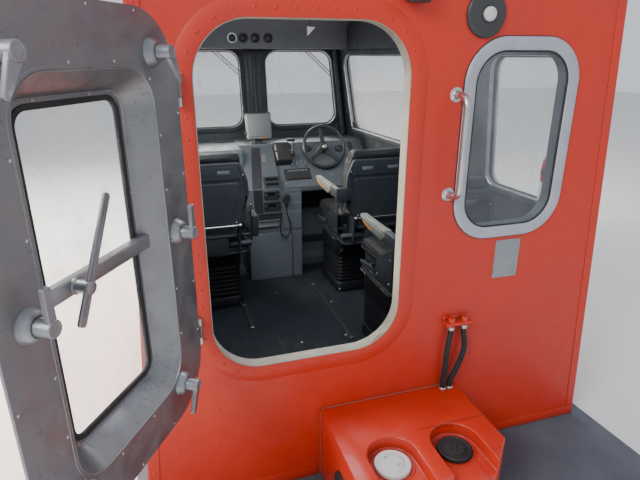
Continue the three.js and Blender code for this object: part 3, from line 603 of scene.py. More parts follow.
class Coats:
    """The wheelhouse's finishes."""

    HULL = LinedShell(
        "orange_gelcoat", (0.600, 0.028, 0.008), (0.520, 0.034, 0.020), mottle=1.3, mottle_share=0.8,
        rough=(0.34, 0.56), coat=0.04, grain=900, grain_depth=0.02 * MM, wave=1.2 * MM, dirt=0.5,
        streak=0.04, streak_tone=(0.50, 0.07, 0.04), scratch=0.04, scratch_tone=(0.60, 0.14, 0.09),
        crevice_shade=0.35,
    )
    BOX = Finish(
        "orange_box_gelcoat", (0.60, 0.030, 0.008), (0.54, 0.022, 0.008), mottle=3.0, rough=(0.28, 0.5),
        coat=0.2, grain=700, grain_depth=0.03 * MM, wave=0.8 * MM, dirt=0.8, scratch=0.5,
        scratch_tone=(0.22, 0.02, 0.01), crevice_shade=0.5,
    )
    DECK = Grit(
        "grey_deck_paint", (0.080, 0.092, 0.118), (0.120, 0.132, 0.156), rough=(0.7, 0.9), dirt=0.7,
        dirt_and_shade_tone=(0.08, 0.07, 0.06), crevice_shade=0.4,
    )
    DOOR = Finish(
        "bare_aluminium", (0.235, 0.245, 0.265), (0.300, 0.290, 0.275), mottle=5.0, rough=(0.34, 0.56),
        metallic=0.8, grain=120, grain_depth=0.06 * MM, grain_stretch=(1, 1, 14), dirt=0.85,
        dirt_and_shade_tone=(0.075, 0.058, 0.045), streak=0.4, streak_tone=(0.17, 0.125, 0.10), crevice_shade=0.5,
    )
    WELD = Finish(
        "welded_aluminium", (0.30, 0.31, 0.33), (0.40, 0.40, 0.41), mottle=22, rough=(0.35, 0.6),
        metallic=0.8, grain=160, grain_depth=0.5 * MM, dirt=0.7, dirt_and_shade_tone=(0.10, 0.09, 0.08), crevice_shade=0.6,
    )
    RAIL = Finish(
        "worn_flat_bar", (0.36, 0.37, 0.39), (0.28, 0.28, 0.29), mottle=9, rough=(0.3, 0.5), metallic=0.85,
        grain=200, grain_depth=0.05 * MM, grain_stretch=(8, 8, 1), dirt=0.4, dirt_and_shade_tone=(0.14, 0.12, 0.10),
        scratch=0.3,
    )
    FRAME = Finish(
        "pale_anodised_frame", (0.46, 0.47, 0.52), (0.36, 0.37, 0.42), mottle=12, rough=(0.35, 0.5),
        metallic=0.35, grain=500, grain_depth=0.02 * MM, dirt=0.9, dirt_and_shade_tone=(0.13, 0.12, 0.13),
        crevice_shade=0.5,
    )
    TRIM = Finish(
        "pale_edge_trim", (0.37, 0.32, 0.25), (0.25, 0.225, 0.19), mottle=14, rough=(0.5, 0.75), dirt=0.8,
        dirt_and_shade_tone=(0.12, 0.10, 0.07), streak=0.3, streak_tone=(0.30, 0.27, 0.20), crevice_shade=0.3,
    )
    STEEL = Finish(
        "polished_steel", (0.62, 0.62, 0.61), (0.55, 0.55, 0.55), rough=(0.24, 0.40), metallic=1.0,
        grain=300, grain_depth=0.01 * MM, dirt=0.3, dirt_and_shade_tone=(0.25, 0.16, 0.10),
    )
    GLASS = Pane("salted_glass", (0.60, 0.64, 0.64), (0.72, 0.72, 0.68), rough=(0.02, 0.5), film=0.35)
    AFT_GLASS = Pane(
        "clear_aft_glass", (0.30, 0.34, 0.38), (0.42, 0.44, 0.45), rough=(0.02, 0.4), film=0.14
    )
    RUBBER = Finish(
        "black_rubber", (0.012, 0.012, 0.013), (0.028, 0.028, 0.028), rough=(0.55, 0.8), grain=600,
        grain_depth=0.03 * MM, dirt=0.5, dirt_and_shade_tone=(0.12, 0.11, 0.10),
    )
    PLASTIC = Finish(
        "black_plastic", (0.014, 0.015, 0.017), (0.024, 0.025, 0.028), rough=(0.48, 0.64), grain=1500,
        grain_depth=0.03 * MM, dirt=0.35, dirt_and_shade_tone=(0.060, 0.066, 0.074),
    )
    SHELL = SeatPlastic(
        "seat_shell_plastic", (0.030, 0.036, 0.044), (0.052, 0.059, 0.067), rough=(0.45, 0.6), grain=900,
        grain_depth=0.05 * MM, dirt=0.4, dirt_and_shade_tone=(0.07, 0.065, 0.06),
    )
    CONSOLE = Finish(
        "grey_console_plastic", (0.110, 0.128, 0.145), (0.138, 0.152, 0.166), mottle=4, rough=(0.45, 0.65),
        grain=700, grain_depth=0.07 * MM, dirt=0.5, crevice_shade=0.4, scratch=0.12,
    )
    CABINET = Finish(
        "pale_grey_cabinet", (0.140, 0.158, 0.180), (0.172, 0.190, 0.208), mottle=3, rough=(0.45, 0.65),
        grain=700, grain_depth=0.06 * MM, dirt=0.7, crevice_shade=0.5, scratch=0.15,
    )
    CAULK = Finish(
        "painted_caulk", (0.42, 0.06, 0.035), (0.30, 0.10, 0.07), mottle=40, rough=(0.5, 0.7), grain=300,
        grain_depth=0.4 * MM, dirt=0.8, crevice_shade=0.5,
    )
    SCREEN = Finish(
        "dark_screen", (0.010, 0.014, 0.016), (0.014, 0.018, 0.020), rough=(0.08, 0.2), dirt=0.3
    )
    SCREEN_BOX = Finish(
        "monitor_case", (0.165, 0.178, 0.182), (0.195, 0.208, 0.210), rough=(0.4, 0.55), grain=900,
        grain_depth=0.03 * MM, dirt=0.3, crevice_shade=0.3,
    )
    LINING = Finish(
        "dark_headlining", (0.024, 0.030, 0.038), (0.042, 0.050, 0.058), mottle=3, rough=(0.6, 0.8),
        grain=500, grain_depth=0.15 * MM, dirt=0.3, dirt_and_shade_tone=(0.09, 0.09, 0.09),
    )
    HEADER = Finish(
        "grey_header_panel", (0.115, 0.120, 0.140), (0.145, 0.150, 0.170), mottle=3, rough=(0.5, 0.7),
        grain=600, grain_depth=0.1 * MM, dirt=0.4, dirt_and_shade_tone=(0.12, 0.12, 0.12),
    )
    WHITE = Finish(
        "white_cap_plastic", (0.62, 0.63, 0.62), (0.54, 0.54, 0.52), rough=(0.4, 0.6), grain=600,
        grain_depth=0.03 * MM, dirt=0.6, dirt_and_shade_tone=(0.22, 0.20, 0.17), crevice_shade=0.4,
    )
    RED = Finish(
        "red_enamel", (0.40, 0.018, 0.012), (0.34, 0.015, 0.010), rough=(0.25, 0.45), coat=0.4, grain=500,
        grain_depth=0.02 * MM, dirt=0.4, crevice_shade=0.4,
    )
    HIDE = Hide(
        "black_seat_hide", (0.014, 0.014, 0.016), (0.030, 0.030, 0.031), rough=(0.38, 0.58), dirt=0.5,
        dirt_and_shade_tone=(0.11, 0.10, 0.09),
    )
    ARM_PAD = Hide(
        "armrest_pad", (0.200, 0.205, 0.175), (0.130, 0.132, 0.118), rough=(0.45, 0.65), dirt=0.5
    )
    MAT = RibbedMat(
        "ribbed_floor_mat", (0.011, 0.014, 0.021), (0.020, 0.024, 0.034), mottle=2, rough=(0.6, 0.85),
        dirt=0.9, dirt_and_shade_tone=(0.09, 0.085, 0.08), streak=0.0, scratch=0.12, scratch_tone=(0.12, 0.12, 0.12),
    )
    # Amber: the armrests' inserts, and also the painted warm glint under the monitor's lip.
    AMBER = Finish("amber_insert_and_glint", (0.75, 0.26, 0.02), (0.65, 0.20, 0.02), rough=(0.3, 0.5), dirt=0.2)
    STUDIO = Finish("studio_floor", (0.72, 0.72, 0.71), (0.70, 0.70, 0.70), rough=(0.8, 0.9), dirt=0.0)


NODE_COATS: dict[str, tuple[str, Finish]] = {
    "deck_plate": ("deck", Coats.DECK), "aft_wall": ("hull_paint", Coats.HULL),
    "front_wall": ("hull_paint", Coats.HULL), "side_wall_port": ("hull_paint", Coats.HULL),
    "side_wall_starboard": ("hull_paint", Coats.HULL), "roof": ("hull_paint", Coats.HULL),
    "opening_trim": ("edge_trim", Coats.TRIM), "aft_window_frame": ("window_frame", Coats.FRAME),
    "door_panel": ("door_aluminium", Coats.DOOR), "door_hinge_lower": ("steel", Coats.STEEL),
    "door_hinge_upper": ("steel", Coats.STEEL), "grab_handle": ("steel", Coats.STEEL),
    "vent_disc": ("black_plastic", Coats.PLASTIC), "aft_lamp": ("black_plastic", Coats.PLASTIC),
    "spec_plate": ("window_frame", Coats.RAIL), "hose_bracket": ("red_fittings", Coats.BOX),
    "hose_port": ("rubber", Coats.RUBBER), "hose_starboard": ("rubber", Coats.RUBBER),
    "deck_box": ("hull_paint", Coats.BOX), "deck_box_cap_white": ("cap_white", Coats.WHITE),
    "deck_box_cap_black": ("rubber", Coats.RUBBER), "console": ("console", Coats.CONSOLE),
    "monitor": ("console", Coats.SCREEN_BOX), "throttle": ("black_plastic", Coats.PLASTIC),
    "radio_mic": ("black_plastic", Coats.PLASTIC), "mic_cord": ("rubber", Coats.RUBBER),
    "overhead_panel": ("lining", Coats.HEADER), "extinguisher": ("red_fittings", Coats.RED),
    "steering_wheel": ("black_plastic", Coats.PLASTIC), "wiper_port": ("black_plastic", Coats.PLASTIC),
    "wiper_starboard": ("black_plastic", Coats.PLASTIC),
}


def coat_nodes(nodes: dict[str, bpy.types.Object]) -> None:
    """Gives every CAD node that stays its finish.

    Args:
        nodes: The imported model's objects by name.
    """
    for name, obj in nodes.items():
        if name == "aft_window_glass":
            coat: Finish = Coats.AFT_GLASS
        elif "glass" in name:
            coat = Coats.GLASS
        elif name.startswith("seat_frame"):
            coat = Coats.SHELL
        elif name.startswith("seat_"):
            coat = Coats.HIDE
        else:
            coat = NODE_COATS[name][1]
        obj.data.materials.clear()
        obj.data.materials.append(coat.material())


class Bench:
    """The modelling steps that every sub-assembly shares, done with the operators."""

    @staticmethod
    def only(obj: bpy.types.Object) -> None:
        """Selects one object and makes it the active one."""
        bpy.ops.object.select_all(action="DESELECT")
        obj.select_set(True)
        bpy.context.view_layer.objects.active = obj

    @staticmethod
    def edit(obj: bpy.types.Object) -> bmesh.types.BMesh:
        """Opens an object in edit mode and gives its mesh."""
        Bench.only(obj)
        bpy.ops.object.mode_set(mode="EDIT")
        return bmesh.from_edit_mesh(obj.data)

    @staticmethod
    def done() -> None:
        """Closes edit mode."""
        bpy.ops.object.mode_set(mode="OBJECT")

    @staticmethod
    def put(obj: bpy.types.Object, matrix: Matrix) -> bpy.types.Object:
        """Moves an object and writes its place into its mesh."""
        obj.matrix_world = matrix @ obj.matrix_world
        Bench.only(obj)
        bpy.ops.object.transform_apply(location=True, rotation=True, scale=True)
        return obj

    @staticmethod
    def apply(obj: bpy.types.Object, kind: str, **settings: object) -> None:
        """Adds a modifier with its settings and applies it."""
        Bench.only(obj)
        modifier = obj.modifiers.new(kind.lower(), kind)
        for key, value in settings.items():
            setattr(modifier, key, value)
        bpy.ops.object.modifier_apply(modifier=modifier.name)

    @staticmethod
    def round_edges(obj: bpy.types.Object, width: float, segments: int = 2, angle: float = 35) -> None:
        """Rounds the edges that turn more than an angle."""
        Bench.apply(
            obj, "BEVEL", width=width, segments=segments, limit_method="ANGLE",
            angle_limit=math.radians(angle), use_clamp_overlap=True,
        )

    @staticmethod
    def smooth(obj: bpy.types.Object, angle: float = 40) -> bpy.types.Object:
        """Shades an object smooth up to an angle."""
        Bench.only(obj)
        bpy.ops.object.shade_smooth_by_angle(angle=math.radians(angle))
        return obj

    @staticmethod
    def block(
        name: str, low: Sequence[float], high: Sequence[float], edge: float = 0.0, segments: int = 2
    ) -> bpy.types.Object:
        """Makes a block between two corners, with rounded edges."""
        middle = [(a + b) / 2 for a, b in zip(low, high)]
        size = [b - a for a, b in zip(low, high)]
        bpy.ops.object.select_all(action="DESELECT")
        bpy.ops.mesh.primitive_cube_add(size=1, location=middle, scale=size)
        obj = bpy.context.active_object
        obj.name = name
        Bench.put(obj, Matrix())
        if edge:
            Bench.round_edges(obj, edge, segments)
            Bench.smooth(obj)
        return obj

    @staticmethod
    def slab(
        name: str,
        matrix: Matrix,
        low: Sequence[float],
        high: Sequence[float],
        edge: float = 0.0,
        segments: int = 2,
    ) -> bpy.types.Object:
        """Makes a block in a frame."""
        return Bench.put(Bench.block(name, low, high, edge, segments), matrix)

    @staticmethod
    def rod(
        name: str,
        start: Sequence[float],
        end: Sequence[float],
        radius: float,
        sides: int = 32,
        edge: float = 0.0,
        tip: float | None = None,
    ) -> bpy.types.Object:
        """Makes a rod, or a cone where a tip radius is given, with rounded rims."""
        a, b = Vector(start), Vector(end)
        turn = (b - a).to_track_quat("Z", "Y")
        bpy.ops.object.select_all(action="DESELECT")
        bpy.ops.mesh.primitive_cone_add(
            vertices=sides, radius1=radius, radius2=radius if tip is None else tip, depth=(b - a).length,
            location=(a + b) / 2, rotation=turn.to_euler(),
        )
        obj = bpy.context.active_object
        obj.name = name
        Bench.put(obj, Matrix())
        if edge:
            Bench.round_edges(obj, edge, 3)
        return Bench.smooth(obj)

    @staticmethod
    def outline(name: str, corners: Sequence[Flat], radius: float, segments: int = 12) -> bpy.types.Object:
        """Makes a flat face with round corners in local X and Y.

        Args:
            name: The object's name.
            corners: Its four corners: low left, low right, high right, high left.
            radius: How far from each corner the rounding starts.
            segments: The edges of each rounding.

        Returns:
            The face, its normal along local Z.
        """
        bpy.ops.object.select_all(action="DESELECT")
        bpy.ops.mesh.primitive_plane_add(size=2)
        obj = bpy.context.active_object
        obj.name = name
        mesh = Bench.edit(obj)
        order = {(-1, -1): 0, (1, -1): 1, (1, 1): 2, (-1, 1): 3}
        for vert in mesh.verts:
            x, y = corners[order[(round(vert.co.x), round(vert.co.y))]]
            vert.co = (x, y, 0)
        bmesh.update_edit_mesh(obj.data)
        bpy.ops.mesh.select_all(action="SELECT")
        if radius:
            bpy.ops.mesh.bevel(offset=radius, segments=segments, affect="VERTICES")
        Bench.done()
        return obj

    @staticmethod
    def rect(width: float, height: float) -> list[Flat]:
        """Gives the corners of a rectangle about the origin."""
        w, h = width / 2, height / 2
        return [(-w, -h), (w, -h), (w, h), (-w, h)]

    @staticmethod
    def band(obj: bpy.types.Object, width: float) -> None:
        """Cuts a face's inside out and leaves a band of a width."""
        Bench.edit(obj)
        bpy.ops.mesh.select_all(action="SELECT")
        bpy.ops.mesh.inset(thickness=width, use_even_offset=True)
        bpy.ops.mesh.delete(type="FACE")
        Bench.done()

    @staticmethod
    def plate(
        name: str,
        corners: Sequence[Flat],
        radius: float,
        thick: float,
        matrix: Matrix,
        band: float = 0.0,
        edge: float = 0.0,
        segments: int = 12,
        edge_segments: int = 2,
    ) -> bpy.types.Object:
        """Makes a plate, or a ring where a band is given, standing out of a face's frame."""
        obj = Bench.outline(name, corners, radius, segments)
        if band:
            Bench.band(obj, band)
        Bench.apply(obj, "SOLIDIFY", thickness=thick, offset=1.0, use_even_offset=True)
        if edge:
            Bench.round_edges(obj, edge, edge_segments, 50)
        Bench.put(obj, matrix)
        return Bench.smooth(obj)

    @staticmethod
    def pipe(
        name: str, points: Sequence[Sequence[float]], radius: float, sides: int = 4, smooth: bool = True
    ) -> bpy.types.Object:
        """Makes a pipe along points, closed at both ends."""
        curve = bpy.data.curves.new(name, "CURVE")
        curve.dimensions = "3D"
        curve.bevel_depth = radius
        curve.bevel_resolution = sides
        curve.use_fill_caps = True
        spline = curve.splines.new("NURBS" if smooth else "POLY")
        spline.points.add(len(points) - 1)
        for slot, point in zip(spline.points, points):
            slot.co = (*point, 1.0)
        if smooth:
            spline.use_endpoint_u = True
            spline.order_u = 4
            spline.resolution_u = 6
        obj = bpy.data.objects.new(name, curve)
        bpy.context.scene.collection.objects.link(obj)
        Bench.only(obj)
        bpy.ops.object.convert(target="MESH")
        return Bench.smooth(bpy.context.active_object, 50)

    @staticmethod
    def loft(
        name: str,
        rings: Sequence[Sequence[Sequence[float]]],
        matrix: Matrix = Matrix(),
        ring: bool = False,
        caps: bool = False,
        angle: float = 40,
    ) -> bpy.types.Object:
        """Draws a first loop and extrudes it through the others.

        Args:
            name: The object's name.
            rings: Loops of the same number of points, in the frame of the matrix.
            matrix: The frame's place in the model.
            ring: Whether the last loop is bridged to the first.
            caps: Whether the end loops are closed by faces.
            angle: The angle up to which it is shaded smooth.

        Returns:
            The piece, its faces pointing outwards.
        """
        bpy.ops.object.select_all(action="DESELECT")
        bpy.ops.mesh.primitive_circle_add(vertices=len(rings[0]), fill_type="NOTHING")
        obj = bpy.context.active_object
        obj.name = name
        mesh = Bench.edit(obj)
        bpy.ops.mesh.select_mode(type="EDGE")
        mesh.verts.ensure_lookup_table()
        for vert, point in zip(mesh.verts, rings[0]):
            vert.co = point
        bmesh.update_edit_mesh(obj.data)
        bpy.ops.mesh.select_all(action="SELECT")
        for before, after in zip(rings, rings[1:]):
            near = KDTree(len(before))
            for i, point in enumerate(before):
                near.insert(point, i)
            near.balance()
            bpy.ops.mesh.extrude_edges_move()
            mesh = bmesh.from_edit_mesh(obj.data)
            for vert in [v for v in mesh.verts if v.select]:
                vert.co = after[near.find(vert.co)[1]]
            bmesh.update_edit_mesh(obj.data)
        if ring or caps:
            bpy.ops.mesh.select_all(action="DESELECT")
            bpy.ops.mesh.select_non_manifold(
                extend=False, use_wire=False, use_multi_face=False, use_non_contiguous=False
            )
            if ring:
                bpy.ops.mesh.bridge_edge_loops()
            else:
                bpy.ops.mesh.fill_holes(sides=0)
        bpy.ops.mesh.select_all(action="SELECT")
        bpy.ops.mesh.normals_make_consistent(inside=False)
        Bench.done()
        Bench.put(obj, matrix)
        return Bench.smooth(obj, angle)

    @staticmethod
    def moulding(
        name: str,
        corners: Sequence[Flat],
        radius: float | Sequence[float],
        profile: Sequence[Flat],
        matrix: Matrix,
        segments: int = 16,
        caps: bool = False,
        angle: float = 40,
    ) -> bpy.types.Object:
        """Runs a profile round an outline: a ring, or a dish where it is capped.

        Args:
            name: The object's name.
            corners: The outline's corners, anticlockwise, in the face's frame.
            radius: The radius of its corners.
            profile: Pairs of inset from the outline and height over the face.
            matrix: The face's frame.
            segments: The edges of each corner.
            caps: Whether the first and last loops are closed, for a plate.
            angle: The angle up to which it is shaded smooth.

        Returns:
            The piece.
        """
        radii = [radius] * len(corners) if isinstance(radius, (int, float)) else list(radius)
        rings = []
        for inset, height in profile:
            soft = [max(r - inset, 0.4 * MM) for r in radii]
            rings.append([(x, y, height) for x, y in rounded(shrunk(corners, inset), soft, segments)])
        return Bench.loft(name, rings, matrix, ring=not caps, caps=caps, angle=angle)

    @staticmethod
    def turned(
        name: str, profile: Sequence[Flat], matrix: Matrix, sides: int = 48, angle: float = 40
    ) -> bpy.types.Object:
        """Makes a round piece from pairs of radius and height over a face."""
        rings = []
        for radius, height in profile:
            turns = [math.tau * k / sides for k in range(sides)]
            rings.append([(radius * math.cos(t), radius * math.sin(t), height) for t in turns])
        return Bench.loft(name, rings, matrix, caps=True, angle=angle)

    @staticmethod
    def stud(name: str, radius: float, height: float, sides: int = 12) -> bpy.types.Object:
        """Makes a domed head that stands on the XY plane."""
        profile = [
            (radius, -0.1 * MM), (radius, 0.25 * height), (0.8 * radius, 0.7 * height),
            (0.4 * radius, height),
        ]
        return Bench.turned(name, profile, Matrix(), sides, 60)

    @staticmethod
    def softened(
        name: str, node: bpy.types.Object, width: float, segments: int = 2, angle: float = 35
    ) -> bpy.types.Object:
        """Copies a CAD node's solid, merges its loose triangles and rounds its edges."""
        obj = bpy.data.objects.new(name, node.data.copy())
        bpy.context.scene.collection.objects.link(obj)
        Bench.edit(obj)
        bpy.ops.mesh.select_all(action="SELECT")
        bpy.ops.mesh.remove_doubles(threshold=0.02 * MM)
        bpy.ops.mesh.dissolve_limited(angle_limit=math.radians(1.5))
        Bench.done()
        Bench.round_edges(obj, width, segments, angle)
        return Bench.smooth(obj)

    @staticmethod
    def join(name: str, parts: Iterable[bpy.types.Object]) -> bpy.types.Object:
        """Joins pieces into one of a name."""
        parts = list(parts)
        bpy.ops.object.select_all(action="DESELECT")
        for part in parts:
            part.select_set(True)
        bpy.context.view_layer.objects.active = parts[0]
        if len(parts) > 1:
            bpy.ops.object.join()
        parts[0].name = name
        return parts[0]

    @staticmethod
    def copies(name: str, model: bpy.types.Object, places: Iterable[Matrix]) -> bpy.types.Object:
        """Copies a model to each place, joins the copies and removes the model."""
        made = []
        for place in places:
            copy = model.copy()
            copy.data = model.data.copy()
            copy.data.transform(place)
            bpy.context.scene.collection.objects.link(copy)
            made.append(copy)
        bpy.data.objects.remove(model)
        return Bench.join(name, made)

    @staticmethod
    def cut(obj: bpy.types.Object, tool: bpy.types.Object) -> None:
        """Cuts one object with another, which is then removed."""
        Bench.apply(obj, "BOOLEAN", operation="DIFFERENCE", solver="EXACT", object=tool)
        bpy.data.objects.remove(tool)

    @staticmethod
    def filled(
        obj: bpy.types.Object,
        form: Callable[[Vector], Vector],
        hold: Callable[[Vector], bool],
        cap: float = 9 * MM,
        voxel: float = 6 * MM,
    ) -> bpy.types.Object:
        """Remeshes a pad, shapes it, swells it as cloth under pressure and refines it.

        Args:
            obj: The closed form to start from.
            form: Gives a point's place before the filling.
            hold: Tells the points that rest on something and stay.
            cap: The most that the filling may move a point.
            voxel: The size of the remesh.

        Returns:
            The pad.
        """
        Bench.apply(obj, "REMESH", mode="VOXEL", voxel_size=voxel)
        Bench.apply(obj, "SMOOTH", iterations=4, factor=0.5)
        verts = obj.data.vertices
        for vert in verts:
            vert.co = form(vert.co.copy())
        start = [vert.co.copy() for vert in verts]
        held = obj.vertex_groups.new(name="held")
        held.add([i for i, co in enumerate(start) if hold(co)], 1.0, "REPLACE")
        Bench.only(obj)
        cloth = obj.modifiers.new("cloth", "CLOTH")
        cloth.settings.vertex_group_mass = held.name
        cloth.settings.use_pressure = True
        cloth.settings.uniform_pressure_force = 4.0
        cloth.settings.tension_stiffness = 25.0
        cloth.settings.compression_stiffness = 25.0
        cloth.settings.effector_weights.gravity = 0.0
        cloth.point_cache.frame_start, cloth.point_cache.frame_end = 1, 20
        for frame in range(1, 21):
            bpy.context.scene.frame_set(frame)
        bpy.ops.object.modifier_apply(modifier=cloth.name)
        bpy.context.scene.frame_set(1)
        for vert, first in zip(obj.data.vertices, start):
            move = vert.co - first
            if move.length > cap:
                vert.co = first + move * (cap / move.length)
        obj.vertex_groups.clear()
        Bench.apply(obj, "SUBSURF", levels=1, render_levels=1)
        return Bench.smooth(obj, 80)

    @staticmethod
    def sewn(
        obj: bpy.types.Object,
        paths: Iterable[Sequence[Sequence[float]]],
        width: float,
        depth: float,
        side: Sequence[float],
    ) -> None:
        """Presses seams into a pad.

        Args:
            obj: The pad.
            paths: The seams, as points of the model near its skin.
            width: The reach of the dip on either side.
            depth: How deep the thread pulls the skin in.
            side: The direction that the seams are seen from; the places along it don't matter.
        """
        off = Vector(side).normalized()
        spots = []
        for path in paths:
            ends = [Vector(point) for point in path]
            for a, b in zip(ends, ends[1:]):
                steps = max(1, int((b - a).length / (2 * MM)))
                spots += [a.lerp(b, k / steps) for k in range(steps + 1)]
        near = KDTree(len(spots))
        for i, spot in enumerate(spots):
            near.insert(spot - off * spot.dot(off), i)
        near.balance()
        for vert in obj.data.vertices:
            if vert.normal.dot(off) < 0.25:
                continue
            gap = near.find(vert.co - off * vert.co.dot(off))[2]
            if gap < 2.5 * width:
                vert.co -= vert.normal * depth * math.exp(-((gap / width) ** 2))

    @staticmethod
    def settle(
        obj: bpy.types.Object,
        coat: Finish,
        slot: str,
        body: Body = Body.CABIN,
        stands_for: Sequence[str] = (),
    ) -> bpy.types.Object:
        """Gives a piece its finish and its body.

        Args:
            obj: The finished piece.
            coat: Its finish.
            slot: The record's material slot; not used.
            body: The body that it rides on.
            stands_for: The CAD nodes that it replaces.

        Returns:
            The piece.
        """
        obj.data.materials.clear()
        obj.data.materials.append(coat.material())
        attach(obj, body.value)
        if stands_for:
            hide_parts(*stands_for)
        LOG.info("%s: %d faces", obj.name, len(obj.data.polygons))
        return obj


class Build:
    """What every sub-assembly shares: it is built, finished and reported piece by piece."""

    body: Body = Body.CABIN

    def add(
        self, obj: bpy.types.Object, coat: Finish, slot: str, stands_for: Sequence[str] = ()
    ) -> bpy.types.Object:
        """Dresses a piece and lets it ride on the sub-assembly's body."""
        return Bench.settle(obj, coat, slot, self.body, stands_for)

    def build(self) -> None:
        """Makes the sub-assembly's pieces."""
        raise NotImplementedError


@dataclass
class MicCord(Build):
    """The microphone's cord, from its foot down in a loop and back into the console."""

    radius: float = 4.5 * MM
    route: tuple[Point, ...] = (
        (0.055, 0.598, 0.6117), (0.054, 0.598, 0.590), (0.0555, 0.5975, 0.557), (0.062, 0.597, 0.529),
        (0.0745, 0.5955, 0.497), (0.0815, 0.594, 0.462), (0.0825, 0.593, 0.430), (0.077, 0.592, 0.400),
        (0.0625, 0.5915, 0.380), (0.041, 0.591, 0.3705), (0.021, 0.5915, 0.380), (0.0085, 0.592, 0.402),
        (0.0055, 0.593, 0.430), (0.006, 0.5945, 0.452), (0.0095, 0.5975, 0.472), (0.014, 0.604, 0.4845),
        (0.017, 0.612, 0.4905), (0.018, 0.6197, 0.4915),
    )

    def build(self) -> None:
        run = smooth_route(self.route, 5)
        cord = Bench.pipe("mic_lead", run, self.radius, 4, smooth=False)
        self.add(cord, Coats.RUBBER, "rubber", ["mic_cord"])
        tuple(self.route[0])
        run_length(run)


@dataclass
class HosePair(Build):
    """The bracket on the aft wall with its two hoses down to the deck box."""

    plane: float = -1.3503
    line: float = -1.3743
    radius: float = 11 * MM
    foot: float = 0.3503
    top: float = 0.6397
    middle: float = 0.267
    half: float = 0.058
    shelf: Flat = (0.644, 0.656)
    out: float = 0.042
    hoses: tuple[tuple[str, float, float, float], ...] = (
        ("port", 0.238, 0.226, 0.224), ("starboard", 0.296, 0.304, 0.256)
    )

    def route(self, x: float, bow: float, foot: float) -> list[Vector]:
        """Gives a hose's centre line from the bracket down."""
        y, z1, z0 = self.line, self.top, self.foot
        points = [
            (x, y, z1), (x, y, z1 - 0.030), (bow, y - 0.006, z1 - 0.110),
            ((bow + foot) / 2, y - 0.004, z0 + 0.090), (foot, y, z0 + 0.030), (foot, y, z0),
        ]
        return smooth_route(points, 6)

    def build(self) -> None:
        """Makes the hoses, their ferrules, the bracket and its nuts."""
        for name, x, bow, foot in self.hoses:
            run = self.route(x, bow, foot)
            hose = Bench.pipe(f"hose_line_{name}", run, self.radius, 5, smooth=False)
            self.add(hose, Coats.RUBBER, "rubber", [f"hose_{name}"])
            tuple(run[0])
            run_length(run)
        self.bracket()
        self.ferrules()

    def bracket(self) -> None:
        """Makes the folded bracket with a hexagon nut over each hose."""
        x0, x1 = self.middle - self.half, self.middle + self.half
        y = self.plane
        shelf = Bench.block("shelf", (x0, y - self.out, self.shelf[0]), (x1, y, self.shelf[1]), 3 * MM, 3)
        back = Bench.block("back", (x0, y - 5 * MM, 0.640), (x1, y, 0.674), 1.5 * MM)
        parts = [shelf, back]
        for _, x, _, _ in self.hoses:
            nut = Bench.rod("nut", (x, self.line, 0.6405), (x, self.line, 0.674), 15 * MM, 6, 2 * MM)
            collar = Bench.turned(
                "collar",
                mm((16.5, 0), (16.5, 1.5), (15, 2.5), (10, 2.5)),
                Matrix.Translation((x, self.line, self.shelf[1] - 0.5 * MM)),
            )
            parts += [nut, collar]
        for x in (x0 + 9 * MM, self.middle, x1 - 9 * MM):
            screw = Bench.stud("screw", 4 * MM, 2.5 * MM)
            parts.append(Bench.put(screw, frame_at((x, y - 5 * MM, 0.667), (0, -1, 0))))
        self.add(Bench.join("hose_bracket_plate", parts), Coats.BOX, "red_fittings", ["hose_bracket"])

    def ferrules(self) -> None:
        """Crimps a steel ferrule on each hose under the bracket."""
        parts = []
        for _, x, _, foot in self.hoses:
            start = self.top - 1 * MM
            profile = mm((11.2, 0), (13, 0.5), (13, 7), (12, 8), (13, 9), (13, 15), (11.2, 16))
            parts.append(
                Bench.turned("ferrule", profile, Matrix.Translation((x, self.line, start - 16 * MM)), 32)
            )
            ring = mm((14.5, 0), (14.5, 2), (11.3, 5))
            parts.append(
                Bench.turned("boot", ring, Matrix.Translation((foot, self.line, self.foot - 0.2 * MM)), 32)
            )
        self.add(Bench.join("hose_ferrules", parts), Coats.STEEL, "steel")


